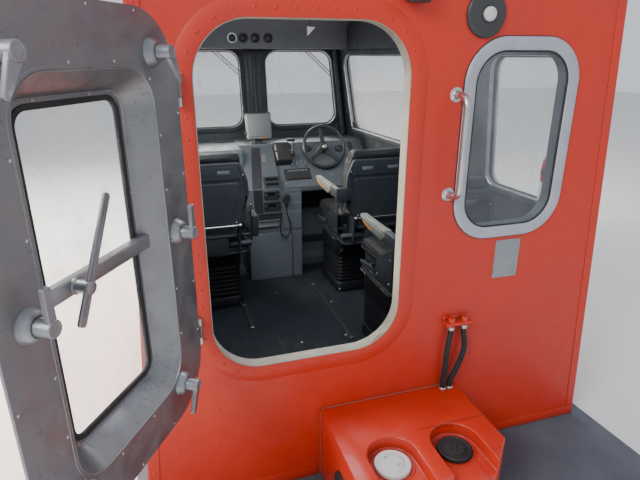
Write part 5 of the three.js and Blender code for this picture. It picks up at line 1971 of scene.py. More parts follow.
@dataclass
class DeckBox(Build):
    """The moulded box on deck with two sunk caps and a side ventilator."""

    nodes: dict[str, bpy.types.Object]
    top: float = 0.350
    floor: float = 0.3003
    recess: float = 0.090
    cap_y: float = -1.660
    white_x: float = -0.134
    black_x: float = 0.112
    vent: Point = (-0.310, -1.600, 0.200)
    groove: tuple[Flat, ...] = ((76, -0.5), (76, 1.6), (78, 2.4), (80, 1.6), (80, -0.5))

    def build(self) -> None:
        """Makes the box, its grooves and seam, the caps and the ventilator."""
        body = Bench.softened("deck_box_body", self.nodes["deck_box"], 5 * MM, 3)
        rings = []
        for x in (self.white_x, self.black_x):
            spot = Matrix.Translation((x, self.cap_y, self.floor))
            rings.append(Bench.loft("groove", hoops(self.groove, 48), spot, ring=True))
        self.add(Bench.join("deck_box_body", [body, *rings]), Coats.BOX, "hull_paint", ["deck_box"])
        self.seam()
        self.white_cap()
        self.black_cap()
        self.ventilator()

    def seam(self) -> None:
        """Runs the caulk where the box meets the wall."""
        rng = random.Random(11)
        along = [-0.298 + 0.014 * k for k in range(43)]
        top = [
            (x, LINES.aft - 1.5 * MM + rng.uniform(-0.5, 0.5) * MM, self.top + rng.uniform(-0.6, 0.6) * MM)
            for x in along
            if x < 0.289
        ]
        seams = [Bench.pipe("seam", top, 3 * MM, 3, smooth=False)]
        for x in (-0.300, 0.290):
            side = [
                (x + rng.uniform(-0.5, 0.5) * MM, LINES.aft - 1.5 * MM, 0.035 + 0.016 * k)
                for k in range(20)
            ]
            seams.append(Bench.pipe("seam", side, 3 * MM, 3, smooth=False))
        self.add(Bench.join("box_caulk", seams), Coats.CAULK, "hull_paint")

    def white_cap(self) -> None:
        """Turns the white cap and cuts its two finger holes."""
        spot = Matrix.Translation((self.white_x, self.cap_y, self.floor))
        profile = [
            (63, 0), (65, 2), (65, 11), (63.5, 14.5), (60, 16), (54, 16.2), (51, 15), (46, 15), (43, 16.4),
            (40, 20), (36, 22.5), (20, 23.6), (4, 24),
        ]
        cap = Bench.turned("white_cap", mm(*profile), spot, 64)
        for side in (-1, 1):
            tool = Bench.block(
                "tool", (-0.009, side * 0.027 - 0.006, 0.017), (0.009, side * 0.027 + 0.006, 0.040), 4 * MM,
                3,
            )
            Bench.put(tool, spot @ Matrix.Rotation(0.6, 4, "Z"))
            Bench.cut(cap, tool)
        self.add(Bench.smooth(cap), Coats.WHITE, "cap_white", ["deck_box_cap_white"])

    def black_cap(self) -> None:
        """Turns the black cap with its ribbed rim and raised bar."""
        spot = Matrix.Translation((self.black_x, self.cap_y, self.floor))
        profile = [
            (61, 0), (62.5, 2), (62.5, 12), (60, 15), (55, 16), (52, 13), (44, 12), (40, 14), (38, 19),
            (34, 21), (20, 20), (4, 20),
        ]
        cap = Bench.turned("black_cap", mm(*profile), spot, 64)
        rib = Bench.block("rib", (0.0605, -2 * MM, 1 * MM), (0.0648, 2 * MM, 13 * MM), 1 * MM)
        ribs = Bench.copies(
            "ribs", rib, [spot @ Matrix.Rotation(math.tau * k / 28, 4, "Z") for k in range(28)]
        )
        bar = Bench.slab(
            "bar", spot @ Matrix.Rotation(0.9, 4, "Z"), (-0.034, -6 * MM, 18 * MM),
            (0.034, 6 * MM, 24 * MM), 2.5 * MM, 3,
        )
        self.add(Bench.join("black_cap", [cap, ribs, bar]), Coats.RUBBER, "rubber", ["deck_box_cap_black"])

    def ventilator(self) -> None:
        """Makes the round black ventilator on the box's port side."""
        face = frame_at(self.vent, (-1, 0, 0))
        loops = hoops(((54, -9.5), (54, -3), (51, -0.5), (46, 0.5), (42, -1), (41, -6), (41, -9.5)), 48)
        parts = [Bench.loft("ring", loops, face, ring=True)]
        for k in range(-3, 4):
            half = math.sqrt(41**2 - (k * 11) ** 2) * MM
            parts.append(
                Bench.slab(
                    "slat", face, (-half, k * 11 * MM - 2 * MM, -7 * MM),
                    (half, k * 11 * MM + 2 * MM, -1 * MM), 1 * MM,
                )
            )
        disc = Bench.turned("disc", mm((44, 0), (44, 1.2)), face, 48)
        self.add(Bench.join("box_ventilator", [*parts, disc]), Coats.RUBBER, "rubber")


@dataclass
class Console(Build):
    """The console with its panels, radios, switches, keypad, gauge and cabinet doors."""

    nodes: dict[str, bpy.types.Object]
    edge: Flat = (0.660, 0.715)
    brow: Flat = (0.915, 1.012)
    stack_low: Flat = (0.620, 0.735)
    stack_high: Flat = (0.875, 1.002)
    face_y: float = 0.620

    def plane(self, low: Flat, high: Flat, x: float, along: float, out: float = 0.0) -> Matrix:
        """Gives a frame on a slope, its local Y running up it."""
        way = Vector((0, high[0] - low[0], high[1] - low[1])).normalized()
        normal = Vector((0, -way.z, way.y))
        return frame_at(Vector((x, *low)) + way * along + normal * out, normal)

    def slope(self, x: float, along: float, out: float = 0.0) -> Matrix:
        """Gives a frame on the helm's slope."""
        return self.plane(self.edge, self.brow, x, along, out)

    def stack(self, x: float, along: float, out: float = 0.0) -> Matrix:
        """Gives a frame on the centre stack's slope."""
        return self.plane(self.stack_low, self.stack_high, x, along, out)

    def front(self, x: float, z: float, out: float = 0.0) -> Matrix:
        """Gives a frame on the pedestal's face."""
        return frame_at((x, self.face_y - out, z), (0, -1, 0))

    def tile(
        self, name: str, matrix: Matrix, width: float, height: float, thick: float, radius: float = 3 * MM
    ) -> bpy.types.Object:
        """Makes a plate with eased edges about a frame's origin."""
        e = min(1.2 * MM, thick / 2)
        return Bench.moulding(
            name, Bench.rect(width, height), radius, [(0.0, -0.2 * MM), (0.0, thick - e), (e, thick)],
            matrix, 5, caps=True,
        )

    def build(self) -> None:
        """Makes the console and all that is set in it."""
        body = Bench.softened("console_body", self.nodes["console"], 4 * MM, 3)
        self.add(body, Coats.CONSOLE, "console", ["console"])
        self.cabinet()
        self.radios()
        self.helm_panel()
        self.dash_top()
        self.port_pod()

    def cabinet(self) -> None:
        """Hangs the lower doors, the ledge and the tray on the pedestal."""
        doors = [
            self.tile("door", self.front(-0.064, 0.214), 0.318, 0.366, 7 * MM, 4 * MM),
            self.tile("door", self.front(0.138, 0.214), 0.068, 0.366, 7 * MM, 4 * MM),
            self.tile("fascia", self.front(0.108, 0.555), 0.128, 0.270, 3 * MM, 6 * MM),
        ]
        ledge = Bench.block(
            "ledge", (-0.176, self.face_y - 0.014, 0.450), (-0.004, self.face_y + 1 * MM, 0.464), 3 * MM, 3
        )
        back = self.tile("back", self.front(-0.086, 0.476, 0.5 * MM), 0.172, 0.026, 4 * MM, 3 * MM)
        screws = [self.front(x, z, 7 * MM) for x in (-0.210, 0.082, 0.112, 0.164) for z in (0.044, 0.384)]
        screws += [self.front(x, z, 3 * MM) for x in (0.056, 0.160) for z in (0.430, 0.680)]
        heads = Bench.copies("heads", Bench.stud("head", 3.5 * MM, 1.6 * MM, 10), screws)
        self.add(Bench.join("pedestal_doors", [*doors, heads]), Coats.CABINET, "console")
        self.add(Bench.join("pedestal_ledge", [ledge, back]), Coats.SCREEN_BOX, "console")
        self.footwell()

    def footwell(self) -> None:
        """Lines the footwell's bulkhead and the step at its foot, and lays two black tiles on the bulkhead
        as painted shade.
        """
        wall, step = 0.960, 0.800
        panel = self.tile("panel", frame_at((0.445, wall, 0.352), (0, -1, 0)), 0.512, 0.226, 5 * MM, 6 * MM)
        nosing = self.tile(
            "nosing", frame_at((0.448, step, 0.110), (0, -1, 0)), 0.530, 0.036, 3 * MM, 2 * MM
        )
        tread = Bench.block(
            "tread", (0.184, step + 1 * MM, 0.1290), (0.712, step + 0.060, 0.1325), 1.5 * MM
        )
        self.add(Bench.join("footwell_panel", [panel, nosing, tread]), Coats.CABINET, "console")
        # Painted shade: two flat black tiles stand for the dark recess under the dash and the dark slot
        # above the step.
        dark = [
            self.tile("recess", frame_at((0.445, wall, 0.535), (0, -1, 0)), 0.512, 0.130, 2 * MM, 4 * MM),
            self.tile("slot", frame_at((0.445, wall, 0.194), (0, -1, 0)), 0.512, 0.060, 2 * MM, 4 * MM),
        ]
        self.add(Bench.join("footwell_shade_tiles", dark), Coats.PLASTIC, "black_plastic")

    def radios(self) -> None:
        """Sets the dark strip, the square panel and the radios into the stack."""
        edge = mm((0, -0.2), (0, 1.2), (0.8, 2))
        upper = [(-0.058, 0.004), (0.016, 0.004), (0.056, 0.359), (-0.011, 0.359)]
        lower = [(-0.024, -0.080), (0.036, -0.085), (0.032, 0.092), (-0.034, 0.092)]
        strip = Bench.moulding("strip", upper, 3 * MM, edge, self.stack(-0.130, 0.0), 4, caps=True)
        strip_low = Bench.moulding("strip", lower, 3 * MM, edge, self.front(-0.150, 0.640), 4, caps=True)
        frame = self.tile("frame", self.stack(-0.035, 0.055), 0.125, 0.098, 4 * MM)
        parts = [strip, strip_low, frame]
        for x, z, w, h, deep in (
            (-0.050, 0.690, 0.112, 0.056, 10),
            (-0.047, 0.606, 0.124, 0.064, 8),
            (-0.062, 0.527, 0.176, 0.048, 6),
        ):
            matrix = self.front(x, z)
            parts.append(
                Bench.moulding(
                    "set",
                    Bench.rect(w, h),
                    4 * MM,
                    [
                        (0.0, -0.2 * MM), (0.0, (deep - 1) * MM), (1 * MM, deep * MM), (6 * MM, deep * MM),
                        (7 * MM, (deep - 3) * MM),
                    ],
                    matrix,
                    5,
                    caps=True,
                )
            )
        self.add(Bench.join("stack_sets", parts), Coats.PLASTIC, "black_plastic")
        knobs, keys = [], []
        for x, z, out, r in (
            (-0.092, 0.690, 7, 8), (-0.008, 0.690, 7, 8), (-0.095, 0.606, 5, 9), (0.002, 0.606, 5, 7)
        ):
            profile = [(r, 0), (r, 8), (r - 1, 10), (r - 3, 10.5)]
            knobs.append(Bench.turned("knob", mm(*profile), self.front(x, z, out * MM), 24))
        for k in range(4):
            keys.append(
                self.tile(
                    "key", self.front(-0.069 + 0.0125 * k, 0.675, 7 * MM), 9 * MM, 7 * MM, 2.5 * MM,
                    1.5 * MM,
                )
            )
            keys.append(
                self.tile(
                    "key", self.front(-0.074 + 0.016 * k, 0.590, 5 * MM), 11 * MM, 7 * MM, 2.5 * MM,
                    1.5 * MM,
                )
            )
        screens = [
            self.tile("screen", self.front(-0.050, 0.697, 7.2 * MM), 0.052, 0.022, 1 * MM),
            self.tile("screen", self.front(-0.050, 0.612, 5.2 * MM), 0.060, 0.024, 1 * MM),
            self.tile("screen", self.stack(-0.035, 0.078, 4 * MM), 0.092, 0.022, 1 * MM),
            self.tile("screen", self.stack(-0.035, 0.036, 4 * MM), 0.092, 0.022, 1 * MM),
        ]
        self.add(Bench.join("radio_knobs", knobs + keys), Coats.SHELL, "black_plastic")
        self.add(Bench.join("radio_screens", screens), Coats.SCREEN, "glass")
        pale = [
            self.tile("switch_plate", self.stack(-0.061, 0.261), 0.034, 0.061, 3 * MM, 3 * MM),
            self.tile("rocker", self.stack(-0.061, 0.269, 3 * MM), 0.018, 0.024, 4 * MM, 2 * MM),
            self.tile("tray_lip", self.front(-0.072, 0.499), 0.156, 6 * MM, 14 * MM, 2 * MM),
        ]
        self.add(Bench.join("stack_switch", pale), Coats.SCREEN_BOX, "console")

    def helm_panel(self) -> None:
        """Sets the keypad, toggles, gauge, rockers and the slot on the helm's slope."""
        pad = [self.tile("pad", self.slope(0.180, 0.117), 0.192, 0.088, 12 * MM, 6 * MM)]
        rim = [self.tile("bezel", self.slope(0.180, 0.117), 0.200, 0.096, 3 * MM, 8 * MM)]
        top_row = []
        for row in range(3):
            for k in range(7):
                spot = self.slope(0.112 + 0.0225 * k, 0.091 + 0.025 * row, 11.8 * MM)
                (top_row if row == 2 else pad).append(
                    self.tile("key", spot, 16 * MM, 15 * MM, 3 * MM, 2.5 * MM)
                )
        pad.append(self.tile("slot", self.slope(0.2195, 0.006, -0.4 * MM), 0.278, 8 * MM, 1.4 * MM, 3 * MM))
        self.add(Bench.join("helm_keypad", pad + rim), Coats.PLASTIC, "black_plastic")
        toggles, collars = [], []
        for x, tall in ((0.150, 34), (0.186, 40), (0.255, 44)):
            base = self.slope(x, 0.202)
            collars.append(self.tile("collar", base, 19 * MM, (tall + 6) * MM, 2.5 * MM, 4 * MM))
            toggles.append(
                self.tile("toggle", self.slope(x, 0.202, 2 * MM), 13 * MM, tall * MM, 8 * MM, 5 * MM)
            )
        self.add(Bench.join("helm_toggles", toggles + top_row), Coats.SCREEN_BOX, "console")
        gauges, faces, marks = collars, [], []
        for x, along, r in ((0.553, 0.316, 28), (0.300, 0.330, 24)):
            spot = self.slope(x, along)
            ring = [(r + 4, 0), (r + 4, 4), (r + 2, 6.5), (r, 6.5), (r - 1, 3), (r - 1, 0)]
            loops = hoops(ring, 40)
            gauges.append(Bench.loft("ring", loops, spot, ring=True))
            faces.append(
                Bench.turned("dial", [((r - 0.5) * MM, 0.2 * MM), ((r - 0.5) * MM, 1.5 * MM)], spot, 40)
            )
            for k in range(9):
                turn = math.radians(-130 + 32.5 * k)
                mark = Bench.block(
                    "mark", (-0.6 * MM, (r - 8) * MM, 1.4 * MM), (0.6 * MM, (r - 3) * MM, 1.9 * MM)
                )
                marks.append(Bench.put(mark, spot @ Matrix.Rotation(turn, 4, "Z")))
            needle = Bench.moulding(
                "needle",
                [
                    (-1.5 * MM, -3 * MM), (1.5 * MM, -3 * MM), (0.5 * MM, (r - 7) * MM),
                    (-0.5 * MM, (r - 7) * MM),
                ],
                0.4 * MM,
                mm((0, 1.6), (0, 2.6)),
                spot @ Matrix.Rotation(0.8, 4, "Z"),
                2,
                caps=True,
            )
            marks.append(needle)
        gauges.append(self.tile("frame", self.slope(0.648, 0.318), 38 * MM, 116 * MM, 3 * MM))
        for k in range(2):
            spot = self.slope(0.648, 0.290 + 0.056 * k, 2 * MM)
            gauges.append(
                Bench.put(
                    self.tile("rocker", Matrix(), 24 * MM, 42 * MM, 6 * MM, 2 * MM),
                    spot @ Matrix.Rotation(0.1, 4, "X"),
                )
            )
        self.add(Bench.join("helm_gauges", gauges), Coats.PLASTIC, "black_plastic")
        self.add(Bench.join("gauge_faces", faces), Coats.RUBBER, "rubber")
        self.add(Bench.join("gauge_marks", marks), Coats.WHITE, "cap_white")

    def dash_top(self) -> None:
        """Sets the two demister grilles and the rubber edge on the dash's top."""
        parts = []
        for x, y, z in ((-0.296, 1.130, 1.006), (0.600, 1.050, 1.012)):
            spot = Matrix.Translation((x, y, z))
            corners = Bench.rect(0.130, 0.050)
            parts.append(
                Bench.moulding(
                    "grille", corners, 24 * MM, mm((0, -0.2), (0, 2), (2, 4), (7, 4), (8, 1), (8, -0.2)),
                    spot, 12,
                )
            )
            for k in range(-4, 5):
                slat = Bench.block(
                    "slat", (k * 0.012 - 1.5 * MM, -0.018, 0.3 * MM), (k * 0.012 + 1.5 * MM, 0.018, 3 * MM),
                    0.6 * MM,
                )
                parts.append(Bench.put(slat, spot))
        self.add(Bench.join("demisters", parts), Coats.PLASTIC, "black_plastic")

    def port_pod(self) -> None:
        """Puts a locker's lid and its catch on the port side of the dash."""
        lid = Bench.moulding(
            "lid", Bench.rect(0.420, 0.200), 18 * MM, mm((0, -0.2), (0, 4), (2, 6), (14, 6), (16, 4)),
            frame_at((-0.520, 0.745, 0.850), (0, -1, 0)), 8, caps=True,
        )
        self.add(lid, Coats.CABINET, "console")
        place = frame_at((-0.520, 0.739, 0.940), (0, -1, 0)) @ Matrix.Translation((0, -0.012, 0))
        catch = Bench.turned("catch", mm((14, 0), (14, 3), (12, 5), (5, 6)), place, 28)
        self.add(catch, Coats.STEEL, "steel")


@dataclass
class Monitor(Build):
    """The hooded monitor on the dash, on a yoke with clamp knobs."""

    middle: Point = (-0.068, 0.940, 1.144)
    tilt: float = 12.0
    size: Point = (0.186, 0.180, 0.100)
    foot_half: float = 0.062
    foot: Flat = (0.930, 1.010)
    base: float = 1.0123

    def build(self) -> None:
        """Makes the case, its hood, lip, knobs and foot."""
        t = math.radians(self.tilt)
        face = frame_at(self.middle, (0, -math.cos(t), math.sin(t)))
        w, h, d = self.size
        case = Bench.moulding(
            "case",
            [(-w / 2 + 4 * MM, -h / 2), (w / 2 - 4 * MM, -h / 2), (w / 2, h / 2), (-w / 2, h / 2)],
            9 * MM,
            [
                (10 * MM, -d / 2), (2 * MM, -d / 2 + 8 * MM), (0.0, -d / 2 + 16 * MM),
                (0.0, d / 2 - 5 * MM), (1.5 * MM, d / 2 - 1.5 * MM), (4 * MM, d / 2),
            ],
            face,
            8,
            caps=True,
        )
        cover = Bench.moulding(
            "cover",
            Bench.rect(w - 18 * MM, h - 20 * MM),
            7 * MM,
            [(0.0, d / 2 - 1 * MM), (0.0, d / 2 + 2 * MM), (2 * MM, d / 2 + 3 * MM)],
            face,
            6,
            caps=True,
        )
        lip = Bench.slab(
            "lip", face, (-w / 2 + 6 * MM, -h / 2 - 6 * MM, d / 2 - 30 * MM),
            (w / 2 - 6 * MM, -h / 2 + 5 * MM, d / 2 + 8 * MM), 3 * MM, 3,
        )
        foot = Bench.block(
            "foot",
            (self.middle[0] - self.foot_half, self.foot[0], self.base),
            (self.middle[0] + self.foot_half, self.foot[1], self.base + 12 * MM),
            4 * MM,
            3,
        )
        neck = Bench.block(
            "neck", (self.middle[0] - 0.030, 0.950, self.base + 8 * MM),
            (self.middle[0] + 0.030, 0.990, 1.100), 5 * MM, 3,
        )
        self.add(
            Bench.join("monitor_case", [case, cover, lip, foot, neck]), Coats.SCREEN_BOX, "console",
            ["monitor"],
        )
        knobs = []
        for side in (-1, 1):
            profile = [(9, 0), (9, 2), (14, 3), (14, 12), (12, 14), (5, 14)]
            place = face @ Matrix.Translation((side * (w / 2 - 3 * MM), -h / 2 + 0.040, -5 * MM))
            spot = place @ Matrix.Rotation(side * math.pi / 2, 4, "Y")
            knobs.append(Bench.turned("knob", mm(*profile), spot, 16, 20))
        shade = Bench.slab(
            "shade", face, (-w / 2 - 1 * MM, h / 2 - 4 * MM, d / 2 - 34 * MM),
            (w / 2 + 1 * MM, h / 2 + 3 * MM, d / 2 + 4 * MM), 2 * MM,
        )
        # A thin amber strip under the lip is a painted highlight: it stands for a warm glint there, not a
        # part.
        under = Bench.moulding(
            "strip",
            Bench.rect(0.060, 0.005),
            1.5 * MM,
            mm((0, 0), (0, 1.5)),
            face @ Matrix.Translation((0.018, -h / 2 - 0.5 * MM, d / 2 + 7.8 * MM)),
            3,
            caps=True,
        )
        self.add(Bench.join("monitor_fittings", [*knobs, shade]), Coats.PLASTIC, "black_plastic")
        self.add(under, Coats.AMBER, "black_plastic")


@dataclass
class Throttle(Build):
    """The engine control: a black box on the slope with a side lever and a T grip."""

    x: float = 0.088
    along: float = 0.290
    size: Flat = (0.130, 0.180)
    lever_x: float = 0.158
    foot: Flat = (0.7909, 0.9548)
    grip_y: float = 0.7849
    grip_z: float = 1.0548
    grip: Flat = (0.112, 0.176)

    def build(self) -> None:
        """Makes the box, its quadrant, the lever and the grip."""
        slope = Console({}).slope(self.x, self.along, 0.3 * MM)
        w, h = self.size
        case = Bench.moulding(
            "case", Bench.rect(w, h), 12 * MM, mm((0, 0), (0, 8), (3, 11), (5, 40), (9, 53), (16, 60)),
            slope, 8, caps=True,
        )
        band = Bench.moulding(
            "band", Bench.rect(w - 4 * MM, 0.012), 3 * MM, mm((0, 55), (0, 62), (2, 63)), slope, 4,
            caps=True,
        )
        seam = Bench.moulding(
            "seam", Bench.rect(w + 2 * MM, h + 2 * MM), 13 * MM,
            mm((0, 0), (0, 4), (1.5, 5), (3, 5), (3, 0)), slope, 8,
        )
        hub = Bench.rod(
            "hub", (self.lever_x - 14 * MM, *self.foot), (self.lever_x + 9 * MM, *self.foot), 20 * MM, 32,
            2 * MM,
        )
        self.add(
            Bench.join("throttle_case", [case, band, seam, hub]), Coats.PLASTIC, "black_plastic",
            ["throttle"],
        )
        start = Vector((self.lever_x, *self.foot))
        end = Vector((self.lever_x, self.grip_y, self.grip_z))
        up = (end - start).normalized()
        across = Vector((1, 0, 0))
        matrix = Matrix((across, up.cross(across), up)).transposed().to_4x4()
        matrix.translation = start
        length = (end - start).length
        loops = []
        for share, half, thick in ((0.0, 11, 7), (0.3, 9, 6.5), (0.7, 8, 6), (1.0, 9, 7)):
            corners = box(-thick * MM, -half * MM, thick * MM, half * MM)
            loops.append([(x, y, share * length) for x, y in rounded(corners, 3 * MM, 4)])
        stem = Bench.loft("stem", loops, matrix, caps=True)
        self.add(named(stem, "throttle_stem"), Coats.STEEL, "steel")
        x0, x1 = self.grip
        spot = frame_at((x0, self.grip_y, self.grip_z), (1, 0, 0))
        profile = [
            (8, 0), (11, 2), (12, 6), (11, 14), (12, 24), (11, 34), (12, 44), (12, 58), (10, 63), (6, 64)
        ]
        drawn = 0.064
        rings = [(a * MM, b * MM * (x1 - x0) / drawn) for a, b in profile]
        grip = Bench.turned("throttle_grip", rings, spot, 28)
        self.add(grip, Coats.PLASTIC, "black_plastic")


def named(obj: bpy.types.Object, name: str) -> bpy.types.Object:
    """Names a piece and gives it back."""
    obj.name = name
    return obj


@dataclass
class Helm(Build):
    """The steering wheel: a thick rim, three broad spokes and a hub with a cap."""

    body: Body = Body.HELM
    centre: Point = (0.412, 0.806, 0.988)
    tilt: float = 25.0
    radius: float = 0.172
    rim: float = 0.013
    hub: float = 0.034
    spokes: tuple[int, ...] = (97, 217, 312)

    def build(self) -> None:
        """Makes the wheel on its own axis."""
        t = math.radians(self.tilt)
        face = frame_at(self.centre, (0, -math.cos(t), math.sin(t)))
        major = self.radius - self.rim
        loops = []
        for k in range(96):
            turn = math.tau * k / 96
            grip = 1 + 0.05 * math.cos(24 * turn)
            ring = []
            for j in range(16):
                a = math.tau * j / 16
                inner = grip if math.cos(a) < 0 else 1.0
                r = major + self.rim * math.cos(a) * inner
                ring.append((r * math.cos(turn), r * math.sin(turn), self.rim * 0.92 * math.sin(a)))
            loops.append(ring)
        rim = Bench.loft("rim", loops, face, ring=True, angle=60)
        parts = [rim]
        for deg in self.spokes:
            turn = face @ Matrix.Rotation(math.radians(deg), 4, "Z")
            stations = (
                (0.020, 21, -8), (0.050, 19, -7), (0.090, 15, -4), (0.125, 14, -1.5), (0.150, 17, 0.0)
            )
            sections = []
            for r, half, rise in stations:
                corners = [
                    (-half * MM, (rise - 3.5) * MM), (half * MM, (rise - 3.5) * MM),
                    ((half - 3) * MM, (rise + 3.5) * MM), (-(half - 3) * MM, (rise + 3.5) * MM),
                ]
                sections.append([(r, x, z) for x, z in rounded(corners, 2 * MM, 3)])
            parts.append(Bench.loft("spoke", sections, turn, caps=True))
        hub = [(26, -26), (33, -20), (34, -6), (33, 2), (29, 8), (22, 11), (20, 10), (19, 11)]
        parts.append(Bench.turned("hub", mm(*hub), face, 40))
        self.add(Bench.join("wheel", parts), Coats.PLASTIC, "black_plastic", ["steering_wheel"])
        cap = [(17, 10), (17, 12), (14, 14), (8, 14.5), (7, 13), (3, 13)]
        self.add(Bench.turned("wheel_cap", mm(*cap), face, 32), Coats.STEEL, "steel")


@dataclass
class Microphone(Build):
    """The radio's hand microphone on its clip."""

    middle: Point = (0.055, 0.6117, 0.653)

    def build(self) -> None:
        """Makes the body, grille, key and clip."""
        x, y, z = self.middle
        face = frame_at((x, y, z), (0, -1, 0))
        corners = mm((-13, -41), (13, -41), (25, 6), (25, 41), (-25, 41), (-25, 6))
        radii = [9 * MM, 9 * MM, 26 * MM, 17 * MM, 17 * MM, 26 * MM]
        body = Bench.moulding(
            "body", corners, radii, mm((3, 0), (0.5, 3), (0, 12), (2, 21), (6, 26)), face, 8, caps=True
        )
        bars = [
            Bench.slab(
                "bar", face, (-12 * MM, k * 5 * MM + 6 * MM, 25 * MM),
                (12 * MM, k * 5 * MM + 8 * MM, 27.2 * MM), 0.7 * MM,
            )
            for k in range(5)
        ]
        key = Bench.slab("key", face, (19 * MM, -6 * MM, 6 * MM), (25.4 * MM, 22 * MM, 18 * MM), 2 * MM, 3)
        relief = Bench.rod(
            "relief", (x, y - 0.0137, z - 0.0413), (x, y - 0.0137, z - 0.026), 7 * MM, 20, 1 * MM
        )
        clip = Bench.block(
            "clip", (x - 11 * MM, y - 2 * MM, z - 13 * MM), (x + 11 * MM, 0.6197, z + 17 * MM), 2 * MM
        )
        self.add(
            Bench.join("microphone", [body, *bars, key, relief, clip]), Coats.PLASTIC, "black_plastic",
            ["radio_mic"],
        )


@dataclass
class Overhead(Build):
    """The panel over the windows with round vents, a dome lamp and a small mirror."""

    nodes: dict[str, bpy.types.Object]
    face: float = 1.075
    vents: tuple[float, ...] = (-0.208, -0.127, -0.039, 0.059)
    vent_z: float = 1.764
    vent_ring: tuple[Flat, ...] = ((36, 0), (36, 4), (33, 8), (29, 8), (26, 3), (25, 0))
    vent_ball: tuple[Flat, ...] = ((25, 0.2), (22, 6), (14, 10), (4, 11))
    mirror: Point = (0.272, 0.670, 1.800)
    mirror_corners: tuple[Flat, ...] = ((-30 * MM, -42 * MM), (40 * MM, 30 * MM), (-34 * MM, 36 * MM))
    battens: tuple[float, ...] = (-0.95, -0.35, 0.25, 0.80)

    def build(self) -> None:
        """Makes the panel, vents, mirror, conduits and ceiling battens."""
        panel = Bench.softened("overhead_box", self.nodes["overhead_panel"], 10 * MM, 4)
        self.add(panel, Coats.HEADER, "lining", ["overhead_panel"])
        parts, glint = [], []
        for i, x in enumerate(self.vents):
            spot = frame_at((x, self.face, self.vent_z), (0, -1, 0))
            made = Bench.loft("vent", hoops(self.vent_ring, 40), spot, ring=True)
            (glint if i == 0 else parts).append(made)
            parts.append(Bench.turned("ball", mm(*self.vent_ball), spot, 32))
            parts.append(
                Bench.slab(
                    "vane", spot @ Matrix.Rotation(0.5 * i, 4, "Z"), (-20 * MM, -2 * MM, 2 * MM),
                    (20 * MM, 2 * MM, 12 * MM), 1 * MM,
                )
            )
        route = [LINES.on_front(-0.020, z, LINES.wall + 0.010) for z in (1.040, 1.20, 1.40, 1.60, 1.70)]
        parts.append(Bench.pipe("conduit", route, 11 * MM, 4))
        posts = []
        for side in (-1, 1):
            post = [LINES.on_front(side * 0.035 - 0.027, z, LINES.wall + 0.003) for z in (1.02, 1.70)]
            parts.append(Bench.pipe("bead", post, 5 * MM, 3, smooth=False))
            corner = [
                (side * (LINES.half(LINES.front(z) - 0.07, z) - 0.075), LINES.front(z) - 0.075, z)
                for z in (1.02, 1.69)
            ]
            posts.append(Bench.pipe("corner", corner, 22 * MM, 6, smooth=False))
        self.add(Bench.join("corner_posts", posts), Coats.LINING, "lining")
        self.add(Bench.join("overhead_vents", parts), Coats.PLASTIC, "black_plastic")
        self.add(named(glint[0], "vent_bright_ring"), Coats.STEEL, "steel")
        frame = frame_at(self.mirror, (-0.25, -1, -0.1))
        mirror = Bench.moulding(
            "mirror_case", self.mirror_corners, 6 * MM, mm((0, 0), (0, 10), (2, 12), (4, 10.5)), frame, 5,
            caps=True,
        )
        stalk = Bench.rod("stalk", (0.268, 0.685, 1.826), (0.268, 0.70, 1.9595), 6 * MM, 16)
        self.add(Bench.join("mirror_case", [mirror, stalk]), Coats.PLASTIC, "black_plastic")
        # The mirror's glass takes the pale white finish: painted reflection in place of a mirror surface.
        glass = Bench.moulding(
            "mirror_glass", self.mirror_corners, 6 * MM, mm((5, 10), (5, 12.5)), frame, 5, caps=True
        )
        self.add(glass, Coats.WHITE, "cap_white")
        self.ceiling()

    def ceiling(self) -> None:
        """Lays the headlining's battens and a dome lamp under the roof."""
        parts = []
        for y in self.battens:
            half = LINES.half(y, 1.955) - 0.060
            parts.append(
                Bench.block("batten", (-half, y - 0.020, 1.950), (half, y + 0.020, 1.9600), 3 * MM)
            )
        for x in (-0.40, 0.40):
            parts.append(
                Bench.block("batten", (x - 0.015, -1.28, 1.953), (x + 0.015, 0.94, 1.9600), 2 * MM)
            )
        self.add(Bench.join("ceiling_battens", parts), Coats.LINING, "lining")
        lamp = Bench.turned(
            "dome_lamp", mm((60, 0), (60, 6), (54, 14), (36, 21), (10, 24)),
            frame_at((0.0, -0.65, 1.9600), (0, 0, -1), (0, 1, 0)), 40,
        )
        self.add(lamp, Coats.WHITE, "cap_white")


